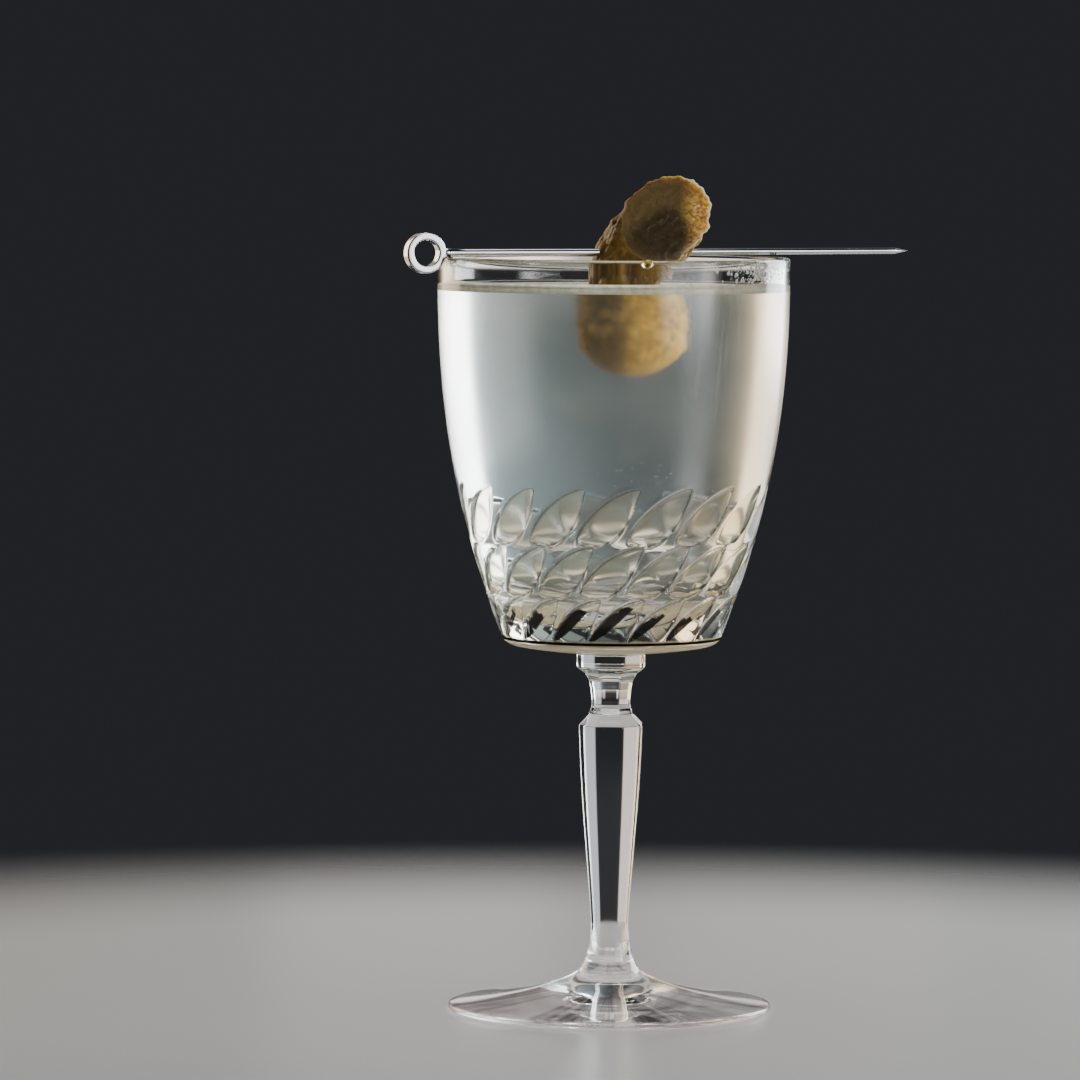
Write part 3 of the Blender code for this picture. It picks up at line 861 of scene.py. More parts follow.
@dataclass
class Goblet:
    """The glass in one piece: bowl with three rows of leaf cuts, octagonal stem and round foot."""

    rim_height: float = 163.6
    rim_radius: float = 38.2
    band_foot: float = 81.5
    narrowing: float = 14.35
    narrowing_power: float = 2.3
    wall_at_rim: float = 1.5
    wall_gain: float = 4.0
    wall_power: float = 4.0
    floor_height: float = 86.0
    floor_corner: float = 98.0
    floor_reach: float = 8.0
    floor_flat: float = 13.0
    underside_radius: float = 21.0
    underside_height: float = 77.6
    underside_rise: float = 1.8
    underside_end: float = 9.6
    under_heights: Range = (77.0, 81.8)
    under_from: float = 9.4
    stem_start: float = 9.2
    stem_merge: float = 24.0
    leaf_rows: tuple = ((-9.7, 114.9, 24.6, 11.6), (-7.3, 102.3, 26.6, 10.1), (-4.9, 90.9, 26.7, 9.4))
    leaf_pitch: float = 20.0
    leaf_depth: float = 0.7
    leaf_upper: tuple = (0.146, 0.75)
    leaf_lower: tuple = (0.274, 0.8, 1.1)
    leaf_section: tuple = (0.7, 0.25)
    collar: tuple = ((8.0, 75.0), (7.4, 74.3))
    neck: tuple = (
        (6.1, 73.5), (5.2, 71.9), (4.75, 70.1), (4.5, 67.5), (4.6, 65.9), (5.0, 65.4), (5.0, 64.6)
    )
    shaft: tuple = (
        (7.45, 62.2), (7.4, 60.6), (7.0, 52.7), (6.4, 44.0), (5.65, 35.3), (4.9, 26.5), (4.45, 20.4)
    )
    shaft_foot: tuple = ((4.35, 16.9), (4.3, 5.0))
    flare: tuple = (
        (3.9, 18.0), (4.2, 15.4), (4.75, 13.0), (5.2, 11.2), (5.8, 9.9), (6.9, 8.4), (8.5, 7.4), (11.0, 6.35)
    )
    foot_slope: tuple = ((17.0, 4.5), (25.0, 2.9), (33.6, 1.75))
    foot_radius: float = 35.1
    foot_edge: float = 1.6
    foot_bevel: float = 0.45
    sides: int = 8
    corner_turn: float = 20.0
    corner_round: float = 0.8
    columns: int = 128
    band_ratio: int = 5
    band_top: float = 116.2
    band_low: float = 81.2
    band_rows: int = 92
    oversampling: int = 3

    def turns(self, ratio: int = 1) -> np.ndarray:
        """Returns the columns' turns, which start on a corner of the stem."""
        count = self.columns * ratio
        return math.radians(self.corner_turn) + np.arange(count) * FULL_TURN / count

    def outer(self, height: np.ndarray) -> np.ndarray:
        """Bowl's outer radius, which narrows with a power of the depth below the rim."""
        depth = np.maximum(self.rim_height - height, 0.0) / (self.rim_height - self.band_foot)
        return self.rim_radius - self.narrowing * depth**self.narrowing_power

    def outer_tilt(self, height: np.ndarray) -> np.ndarray:
        """Angle by which the bowl's outside leans out from upright."""
        return np.arctan(self.outer(height + 0.5) - self.outer(height - 0.5))

    def inner(self, height: np.ndarray) -> np.ndarray:
        """Bowl's inner radius: the wall thickens towards the base with a power of the depth."""
        depth = (self.rim_height - height) / (self.rim_height - self.band_foot)
        return self.outer(height) - self.wall_at_rim - self.wall_gain * depth**self.wall_power

    def inner_profile(self, top: float, grown: float = 0.0) -> np.ndarray:
        """Returns the inner wall's (radius, height) points from near the floor's centre up to the top.

        A cubic curve joins the flat floor to the wall, which it meets with the wall's own slope.

        Args:
            top: Height of the last point.
            grown: Distance by which the line lies inside the glass.

        Returns:
            The points, one to a row.
        """
        low = self.floor_corner
        corner = (float(self.inner(low)) + grown, low)
        slope = float(self.inner(low + 0.5) - self.inner(low - 0.5))
        handle = (corner[0] - slope * self.floor_reach, low - self.floor_reach)
        floor = self.floor_height - grown
        bottom = bezier(corner, handle, (self.floor_flat, floor), (0.0, floor), 20)[-2::-1]
        heights = np.linspace(low, top, 30)
        return np.vstack([bottom, np.column_stack([self.inner(heights) + grown, heights])])

    def leaf_relief(self, azimuth: np.ndarray, height: np.ndarray) -> tuple[np.ndarray, np.ndarray]:
        """Works out how deep the leaf cuts are.

        Laid on the bowl, a leaf runs from its blunt end to its tip. Its upper side is an even bow
        and its lower side bulges near the blunt end. Across it, the cut sinks evenly from the lower
        edge and rises steeply to the upper one, and it is deepest where the leaf is widest.
        Where two cuts meet, the deeper one wins, which leaves a sharp ridge between them.

        Args:
            azimuth: Degrees from the viewer's side, towards the right.
            height: Heights, of the same shape.

        Returns:
            Depths in millimetres, and the share of the way across the leaf from its lower edge to
            its upper one, both of the same shape.
        """
        swell, power = self.leaf_upper
        sag, blunt, sharp = self.leaf_lower
        fullest = blunt / (blunt + sharp)
        most = fullest**blunt * (1 - fullest) ** sharp
        rise_power, drop_power = self.leaf_section
        peak = rise_power / (rise_power + drop_power)
        crest = peak**rise_power * (1 - peak) ** drop_power
        deepest, crossed = np.zeros_like(height), np.zeros_like(height)
        for tip_azimuth, tip_height, span, rise in self.leaf_rows:
            arc = math.radians(span) * float(self.outer(tip_height - rise / 2))
            length = math.hypot(arc, rise)
            slope = math.atan2(rise, arc)
            for copy in (0, 1):
                round_it = (azimuth - tip_azimuth + span) % self.leaf_pitch + copy * self.leaf_pitch
                u = round_it / span * arc
                z = height - tip_height + rise
                along = np.clip((u * math.cos(slope) + z * math.sin(slope)) / length, 0.0, 1.0)
                across = (z * math.cos(slope) - u * math.sin(slope)) / length
                upper = swell * (4 * along * (1 - along)) ** power
                lower = sag * along**blunt * (1 - along) ** sharp / most
                width = upper + lower
                share = np.clip((across + lower) / np.maximum(width, 1e-6), 0.0, 1.0)
                section = share**rise_power * (1 - share) ** drop_power / crest
                fullness = np.clip(width / (swell + sag), 0.0, 1.0) ** 0.7
                depth = self.leaf_depth * section * fullness
                crossed = np.where(depth > deepest, share, crossed)
                deepest = np.maximum(deepest, depth)
        return deepest, crossed

    def band(self) -> np.ndarray:
        """Returns the cut band's rings, each point sunk below the bowl's outside along its normal.

        The depth is taken at finer steps and averaged, so that no edge shows the grid's own steps.
        """
        fine = self.oversampling
        columns = self.columns * self.band_ratio
        heights = np.linspace(self.band_top, self.band_low, self.band_rows)
        step = (self.band_top - self.band_low) / (self.band_rows - 1)
        turns = self.turns(self.band_ratio)
        offsets = (np.arange(fine) - (fine - 1) / 2) / fine
        z = (heights[:, None] + offsets * step).reshape(-1, 1)
        turn = (turns[:, None] + offsets * FULL_TURN / columns).reshape(1, -1)
        azimuth = np.degrees(turn) + 90.0
        depth, _ = self.leaf_relief(*np.broadcast_arrays(azimuth, z))
        depth = depth.reshape(self.band_rows, fine, columns, fine).mean(axis=(1, 3))
        tilt = self.outer_tilt(heights)[:, None]
        radius = self.outer(heights)[:, None] - depth * np.cos(tilt)
        height = heights[:, None] + depth * np.sin(tilt)
        return around(radius, turns, height)

    def octagon(self, corner: np.ndarray, turn: np.ndarray) -> np.ndarray:
        """Radius of an octagon with softened corners, at every turn.

        It is the flats' distance divided by the high power mean of the cosines of the turns from
        each flat's middle, so that a corner is rounded by much the same amount on every ring.
        """
        flat = corner * math.cos(math.pi / self.sides)
        power = 8.41 * corner / self.corner_round
        middles = math.radians(self.corner_turn) + (np.arange(self.sides) + 0.5) * FULL_TURN / self.sides
        cosines = np.maximum(np.cos(turn[None, :, None] - middles), 1e-3)
        mean = (cosines ** power[:, None, None]).sum(axis=-1) ** (1 / power[:, None])
        return flat[:, None] / mean

    def stem_rings(self) -> np.ndarray:
        """Returns the rings from the bowl's underside down the stem to where the foot spreads.

        The stem is octagonal. Where the round flare is wider than the octagon it shows instead,
        so that each flat dies out in an arc.
        """
        turn = self.turns()
        top = self.underside_height + self.underside_rise * (self.stem_start / self.underside_radius) ** 2
        start = [(self.stem_start, top), (self.collar[0][0], top - 0.15)]
        crisp = np.array([*start, *self.collar, *self.neck, *self.shaft[:2]])
        crisp = refined(filleted(crisp, 0.35, 5), 0.8)
        tapered = through(np.array([*self.shaft[1:], *self.shaft_foot]), 10)[1:]
        line = np.vstack([crisp, refined(tapered, 0.9)])
        line = line[line[:, 1] > self.flare[-3][1]]
        wide = through(np.array(self.flare), 8)
        round_part = np.interp(-line[:, 1], -wide[:, 1], wide[:, 0], left=0.0)
        power = self.stem_merge
        merged = (self.octagon(line[:, 0], turn) ** power + round_part[:, None] ** power) ** (1 / power)
        return around(merged, turn, line[:, 1, None])

    def foot_profile(self) -> np.ndarray:
        """Returns the foot's (radius, height) points from the flare's end to its underside's edge."""
        slope = through(np.array([*self.flare[-3:], *self.foot_slope]), 9)
        edge = [(self.foot_radius - 0.25, self.foot_edge - 0.1), (self.foot_radius, self.foot_edge - 0.6)]
        edge += [(self.foot_radius, self.foot_bevel), (self.foot_radius - self.foot_bevel, 0.0)]
        rounded = filleted(np.array([slope[-1], *edge, (self.foot_radius - 3.0, 0.0)]), 0.4, 5)
        return np.vstack([slope, rounded[1:]])

    def build(self, material: bpy.types.Material) -> bpy.types.Object:
        """Builds the whole glass as one closed surface.

        It runs from the inner floor's centre up the inside, over the lip, down the outside through
        the cut band, along the underside, the stem and the foot, to the middle of the foot's base.

        Args:
            material: The glass's material.

        Returns:
            The piece.
        """
        turn = self.turns()
        shape = Surface()
        half = self.wall_at_rim / 2
        crown = self.rim_height - half
        over = np.linspace(math.pi, 0.0, 11)[1:-1]
        lip = np.column_stack([self.rim_radius - half + half * np.cos(over), crown + half * np.sin(over)])
        heights = np.linspace(crown, self.band_top + 0.4, 26)
        wall = np.column_stack([self.outer(heights), heights])
        inside = self.inner_profile(crown)
        upper = turned(np.vstack([inside, lip, wall]), turn)
        last = shape.begin((0.0, 0.0, self.floor_height), upper)
        band = self.band()
        top = shape.add(band[:1])[0]
        shape.change(last, top)
        bottom = shape.rings(band[1:], top)
        corner = (float(self.outer(self.band_low)), self.band_low)
        edge = (self.underside_radius, self.underside_height + self.underside_rise)
        leave = (corner[0] - 0.6, corner[1] - 1.0)
        turn_in = bezier(corner, leave, (edge[0] + 1.3, edge[1] + 0.3), edge, 7)
        radii = np.linspace(edge[0], self.underside_end, 8)[1:]
        dome = np.column_stack([radii, self.underside_height + self.underside_rise * (radii / edge[0]) ** 2])
        under = shape.add(turned(turn_in[:1], turn))[0]
        shape.change(bottom, under)
        last = shape.rings(turned(np.vstack([turn_in[1:], dome]), turn), under)
        last = shape.rings(self.stem_rings(), last)
        last = shape.rings(turned(self.foot_profile(), turn), last)
        shape.end(last, (0.0, 0.0, 0.0))
        made = shape.to_object("goblet", material)
        points = np.vstack(shape.points)
        height = points[:, 2]
        reach = np.hypot(points[:, 0], points[:, 1])
        middle = (self.outer(height) + self.inner(np.clip(height, self.band_foot, None))) / 2
        outside = reach > middle
        azimuth = np.degrees(np.arctan2(points[:, 1], points[:, 0])) + 90.0
        depth, crossed = self.leaf_relief(azimuth, height)
        in_band = outside & (height < self.band_top) & (height > self.band_low - 0.5)
        store(made, "outside", outside)
        store(made, "leaf", in_band * (depth > 0) * smooth_step(np.minimum(crossed, 1 - crossed), 0.0, 0.08))
        store(made, "leaf_across", in_band * crossed)
        low, high = self.under_heights
        store(made, "under", (height > low) & (height < high) & (reach > self.under_from))
        return made


@dataclass
class Gherkin:
    """The gherkin: it stands in the drink, bends at the rim and is cut on a slant at its top."""

    radius: float = 8.6
    cap: float = 9.0
    length: float = 56.0
    foot: tuple = (3.0, 139.0)
    bend_start: float = 17.9
    bend_length: float = 8.0
    lean: float = 36.9
    crease_along: float = 19.5
    crease_reach: float = 3.5
    crease_depth: float = 1.5
    pierced_at: float = 5.8
    pick_turn: float = 20.0
    cut_along: float = 35.4
    cut_slant: float = 50.0
    cut_turn: float = -6.5
    warts: int = 110
    wart_height: float = 0.6
    wart_radius: float = 1.5
    wart_sizes: tuple = (0.7, 1.2)
    wart_margins: tuple = (3.0, 6.0)
    wart_seed: int = 7
    wart_spread: float = 1.25
    pimple_cell: float = 1.5
    pimple_height: float = 0.42
    columns: int = 320
    cap_rings: int = 30
    skin_rings: int = 170
    face_rings: int = 56

    @property
    def depth(self) -> float:
        """Place along Y, which puts it on the pick."""
        return self.pierced_at * math.tan(math.radians(self.pick_turn))

    def centre(self, along: np.ndarray) -> tuple[np.ndarray, np.ndarray, np.ndarray]:
        """Returns the centreline's X, Z and lean: straight up, then an arc, then straight on."""
        lean = math.radians(self.lean)
        arc = self.bend_length / lean
        turned_by = np.clip((along - self.bend_start) / self.bend_length, 0.0, 1.0) * lean
        after = np.maximum(along - self.bend_start - self.bend_length, 0.0)
        x = self.foot[0] + arc * (1 - np.cos(turned_by)) + after * math.sin(lean)
        risen = np.minimum(along, self.bend_start) + arc * np.sin(turned_by)
        z = self.foot[1] + risen + after * math.cos(lean)
        return x, z, turned_by

    def girth(self, along: np.ndarray) -> np.ndarray:
        """Radius at a distance from the low end: full, with elliptical ends."""
        from_end = np.minimum(along, self.length - along)
        inward = np.maximum(self.cap - from_end, 0.0) / self.cap
        return self.radius * np.sqrt(np.maximum(1 - inward**2, 0.0))

    def wart_places(self) -> np.ndarray:
        """Returns the warts' places along, angles round and radii, drawn with a fixed seed."""
        draw = random.Random(self.wart_seed)
        low, high = self.wart_margins
        made = []
        for _ in range(self.warts):
            along = draw.uniform(low, self.length - high)
            turn = draw.uniform(-math.pi, math.pi)
            made.append((along, turn, self.wart_radius * draw.uniform(*self.wart_sizes)))
        return np.array(made)

    def wart_lift(self, along: np.ndarray, angle: np.ndarray) -> np.ndarray:
        """Height of the warts: each is a low bell, and together they reach no more than one."""
        places = self.wart_places()
        turn = (angle[..., None] - places[:, 1] + math.pi) % FULL_TURN - math.pi
        distance = np.hypot(along[..., None] - places[:, 0], turn * self.radius) / places[:, 2]
        bells = self.wart_height * np.maximum(1 - (distance / self.wart_spread) ** 2, 0.0) ** 2
        return self.wart_height * np.tanh(bells.sum(axis=-1) / self.wart_height)

    def pimples(self, along: np.ndarray, angle: np.ndarray) -> np.ndarray:
        """Height of the fine bumps between the warts.

        The skin is laid out in square cells, each with one bump at a random place in it and of a
        random height. A point takes the highest of the bumps of its own cell and the eight round it.
        """
        round_it = int(FULL_TURN * self.radius / self.pimple_cell)
        rows = int(self.length / self.pimple_cell) + 3
        drawn = np.random.default_rng(self.wart_seed).random((3, rows, round_it))
        u = along / self.pimple_cell + 1.0
        v = (angle / FULL_TURN % 1.0) * round_it
        highest = np.zeros_like(u)
        for row_step in (-1, 0, 1):
            for column_step in (-1, 0, 1):
                row = np.clip(np.floor(u).astype(int) + row_step, 0, rows - 1)
                column = np.floor(v).astype(int) + column_step
                place_u, place_v, size = drawn[:, row, column % round_it]
                distance = np.hypot(u - row - place_u, v - column - place_v)
                bump = (0.3 + 0.7 * size) * np.maximum(1 - (distance / 0.75) ** 2, 0.0)
                highest = np.maximum(highest, bump)
        return self.pimple_height * highest

    def skin(self, along: np.ndarray, angle: np.ndarray) -> tuple[np.ndarray, np.ndarray]:
        """Returns the skin's points and the warts' heights there.

        The fold inside the bend draws the skin in with a bell curve along the gherkin and the cosine
        of the angle round it.
        """
        x, z, lean = self.centre(along)
        near = np.exp(-(((along - self.crease_along) / self.crease_reach) ** 2))
        folded = near * np.maximum(np.cos(angle), 0.0)
        lift = self.wart_lift(along, angle) * (1 - folded)
        fine = self.pimples(along, angle) * (1 - folded) - self.pimple_height / 2
        reach = np.maximum(self.girth(along) - self.crease_depth * folded + lift + fine, 0.0)
        aside = reach * np.cos(angle)
        points = [x + aside * np.cos(lean), self.depth + reach * np.sin(angle), z - aside * np.sin(lean)]
        return np.stack(points, axis=-1), lift

    def cut_plane(self) -> tuple[np.ndarray, np.ndarray]:
        """Returns a point of the slanted cut and the way that it faces."""
        x, z, lean = (float(value) for value in self.centre(np.array(self.cut_along)))
        forward = np.array([math.sin(lean), 0.0, math.cos(lean)])
        side = np.array([math.cos(lean), 0.0, -math.sin(lean)])
        slant, turn = math.radians(self.cut_slant), math.radians(self.cut_turn)
        aside = np.array([0.0, -1.0, 0.0]) * math.cos(turn) + side * math.sin(turn)
        return np.array([x, self.depth, z]), forward * math.cos(slant) + aside * math.sin(slant)

    def cut_places(self, angle: np.ndarray) -> np.ndarray:
        """Returns how far along the skin meets the cut at each angle, between two close samples."""
        along = np.linspace(self.cap, self.length - 0.05, 400)
        grid = np.meshgrid(along, angle, indexing="ij")
        point, facing = self.cut_plane()
        beyond = (self.skin(*grid)[0] - point) @ facing
        index = np.argmax(beyond > 0, axis=0)
        column = np.arange(len(angle))
        before, after = beyond[index - 1, column], beyond[index, column]
        return along[index - 1] + (along[index] - along[index - 1]) * before / (before - after)

    def build(self, material: bpy.types.Material) -> bpy.types.Object:
        """Builds the gherkin as one closed surface, from its low end up the skin and over the cut.

        On the cut face each point lies between the skin's edge and the middle, sunk a little by
        a soft dish, by rings of layered flesh and by the loose seed bed on its right.

        Args:
            material: The gherkin's material.

        Returns:
            The piece, with the attributes ring, side, flesh and wart.
        """
        angle = -steps_round(self.columns)
        cut = self.cut_places(angle)
        low = self.cap * (1 - np.cos(np.linspace(0, math.pi / 2, self.cap_rings + 1)[1:]))
        share = np.linspace(0, 1, self.skin_rings + 1)[1:, None]
        rounded = np.repeat(low[:, None], self.columns, axis=1)
        along = np.vstack([rounded, self.cap + (cut - self.cap) * share])
        skin, lift = self.skin(along, np.broadcast_to(angle, along.shape))
        _, facing = self.cut_plane()
        edge = skin[-1]
        middle = edge.mean(axis=0)
        ring = np.cos(np.linspace(0, math.pi / 2, self.face_rings + 1)[1:-1]) ** 1.2
        spread = middle + (edge - middle) * ring[:, None, None]
        right = np.clip((spread[..., 0] - middle[0]) / np.abs(edge[:, 0] - middle[0]).max(), -1, 1)
        seeds = np.clip((right - 0.3) / 0.3, 0, 1) * np.clip((0.95 - ring[:, None]) / 0.1, 0, 1)
        turn = -angle[None, :]
        wave = np.sin(ring[:, None] * 22.0 + 2.5 * np.sin(2 * turn)) * np.clip(4 * (1 - ring[:, None]), 0, 1)
        x, z = spread[..., 0], spread[..., 2]
        lumps = np.sin(x * 4.1 + 2 * np.sin(z * 1.7)) * np.sin(z * 3.7 + 2 * np.sin(x * 2.3)) * seeds
        ripples = np.sin(x * 1.9 + 1.5 * np.sin(z * 0.9)) * np.sin(z * 1.6 + np.sin(x * 1.3))
        ripples = ripples * (1 - ring[:, None] ** 4)
        dish = 0.35 * (1 - ring[:, None] ** 6)
        sunk = dish + 0.02 * wave + 0.06 * ripples + 0.14 * seeds * (1 + lumps)
        face = spread - facing * sunk[..., None]
        shape = Surface()
        heel = (self.foot[0], self.depth, self.foot[1])
        last = shape.begin(heel, np.vstack([skin, face]))
        shape.end(last, tuple(middle - facing * 0.35))
        made = shape.to_object("gherkin_body", material)
        ones = np.ones(skin.shape[:2])
        rings = np.broadcast_to(ring[:, None], face.shape[:2])
        values = (
            ("ring", ones, rings, 1.0, 0.0),
            ("flesh", 0 * ones, np.ones(rings.shape), 0.0, 1.0),
            ("side", 0 * ones, np.clip((right - 0.3) / 0.35, 0, 1), 0.0, 0.0),
            ("wart", lift / self.wart_height, np.zeros(rings.shape), 0.0, 0.0),
        )
        for name, on_skin, on_face, at_heel, at_middle in values:
            parts = [on_skin[0], [at_heel], on_skin[1:].ravel(), on_face.ravel(), [at_middle]]
            store(made, name, np.concatenate(parts))
        return made


@dataclass
class Drink:
    """The drink, which reaches just into the wall, with a meniscus at the wall and at the gherkin."""

    goblet: Goblet
    gherkin: Gherkin
    level: float = 157.0
    rise: float = 0.8
    climb: float = 0.45
    into_wall: float = 0.12
    inside_gherkin: float = 1.2
    columns: int = 160
    rings: int = 44

    def top(self, turn: np.ndarray) -> np.ndarray:
        """Returns the surface's rings from inside the gherkin out to the wall.

        Each point lies between the gherkin's outline and the wall's. The level rises to both as
        the inverse exponential of the distance, as water's surface does.
        """
        wall_radius = float(self.goblet.inner(self.level)) + self.into_wall
        wall = np.column_stack([wall_radius * np.cos(turn), wall_radius * np.sin(turn)])
        girth = self.gherkin.radius - self.inside_gherkin
        heart = np.array([self.gherkin.foot[0], self.gherkin.depth])
        start = heart + girth * np.column_stack([np.cos(turn), np.sin(turn)])
        share = (1 - np.cos(np.linspace(0, math.pi, self.rings))) / 2
        flat = start + (wall - start) * share[:, None, None]
        to_wall = np.maximum(wall_radius - self.into_wall - np.linalg.norm(flat, axis=-1), 0.0)
        to_gherkin = np.maximum(np.linalg.norm(flat - heart, axis=-1) - self.gherkin.radius, 0.0)
        height = self.level + self.rise * np.exp(-to_wall / self.climb)
        height += 0.7 * self.rise * np.exp(-to_gherkin / self.climb)
        return np.concatenate([flat, height[..., None]], axis=-1)

    def build(self, material: bpy.types.Material) -> bpy.types.Object:
        """Builds the drink as one closed surface, from its top out to the wall and down it.

        Args:
            material: The drink's material.

        Returns:
            The piece.
        """
        turn = steps_round(self.columns)
        shape = Surface()
        top = self.top(turn)
        wall = self.goblet.inner_profile(self.level + self.rise - 0.25, self.into_wall)[::-1]
        heart = (self.gherkin.foot[0], self.gherkin.depth, float(top[0, :, 2].mean()))
        last = shape.begin(heart, np.vstack([top, turned(wall, turn)]))
        shape.end(last, (0.0, 0.0, self.goblet.floor_height - self.into_wall))
        return shape.to_object("cloudy_drink_body", material)


@dataclass
class Pick:
    """The steel pick: a ring, a weld bead and a tapering wire with a pencil point."""

    goblet: Goblet
    gaps: Range = (0.05, 0.45)
    turn: float = 20.0
    wire_ends: tuple = ((-39.4, 0.9), (65.4, 0.65))
    bead: tuple = ((-38.9, 0.98), (-38.5, 1.08), (-38.0, 1.08), (-37.4, 0.9))
    tip: float = 68.5
    ring_centre: float = -43.1
    ring_radii: tuple = (4.38, 2.8)
    ring_depth: float = 3.0
    ring_round: float = 0.3
    columns: int = 40
    ring_steps: int = 144

    def wire_radius(self, along: np.ndarray | float) -> np.ndarray | float:
        """Wire's radius, which tapers evenly towards the tip."""
        (start, thick), (end, thin) = self.wire_ends
        return thick + (thin - thick) * (along - start) / (end - start)

    def axes(self) -> tuple[np.ndarray, np.ndarray, np.ndarray, np.ndarray]:
        """Returns the centre over the glass's axis, the way to the tip, and the ways across and up."""
        reach = self.goblet.rim_radius - self.goblet.wall_at_rim / 2
        sides = zip((-reach, reach), self.gaps)
        left, right = (self.goblet.rim_height + gap + self.wire_radius(side) for side, gap in sides)
        turn = math.radians(self.turn)
        way = np.array([math.cos(turn), math.sin(turn), (right - left) / (2 * reach)])
        way /= np.linalg.norm(way)
        across = np.cross([0.0, 0.0, 1.0], way)
        across /= np.linalg.norm(across)
        return np.array([0.0, 0.0, (left + right) / 2]), way, across, np.cross(way, across)

    def wire(self, material: bpy.types.Material) -> bpy.types.Object:
        """Builds the wire with its bead and point: circles along a line, from the ring to the tip."""
        centre, way, across, up = self.axes()
        start, end = self.wire_ends[0][0], self.wire_ends[1][0]
        smooth = through(np.array([(start, self.wire_radius(start)), *self.bead]), 4)
        plain = np.linspace(self.bead[-1][0], end, 30)[1:]
        shank = np.column_stack([plain, self.wire_radius(plain)])
        thin = self.wire_radius(end)
        tapers = ((end + 0.3, 0.93), (self.tip - 0.5, 0.25), (self.tip - 0.08, 0.08))
        point = np.array([(along, thin * share) for along, share in tapers])
        line = np.vstack([smooth, shank, point])
        turn = -steps_round(self.columns)
        spokes = np.cos(turn)[:, None] * across + np.sin(turn)[:, None] * up
        rings = centre + way * line[:, :1, None] + spokes * line[:, 1, None, None]
        shape = Surface()
        last = shape.begin(tuple(centre + way * start), rings)
        shape.end(last, tuple(centre + way * self.tip))
        return shape.to_object("pick_wire", material)

    def ring(self, material: bpy.types.Material) -> bpy.types.Object:
        """Builds the ring: a rectangle with rounded corners carried round a circle."""
        centre, way, across, up = self.axes()
        outer, inner = self.ring_radii
        half = self.ring_depth / 2
        middle = ((outer + inner) / 2, -half)
        corners_round = [(inner, -half), (inner, half), (outer, half), (outer, -half)]
        line = filleted(np.array([middle, *corners_round, middle]), self.ring_round, 6)
        line = refined(line, 0.5)[:-1]
        turn = steps_round(self.ring_steps)
        spokes = np.cos(turn)[:, None] * way + np.sin(turn)[:, None] * up
        hub = centre + way * self.ring_centre
        shape = Surface()
        shape.tube(hub + spokes[:, None] * line[None, :, :1] + across * line[None, :, 1:])
        return shape.to_object("pick_ring", material)


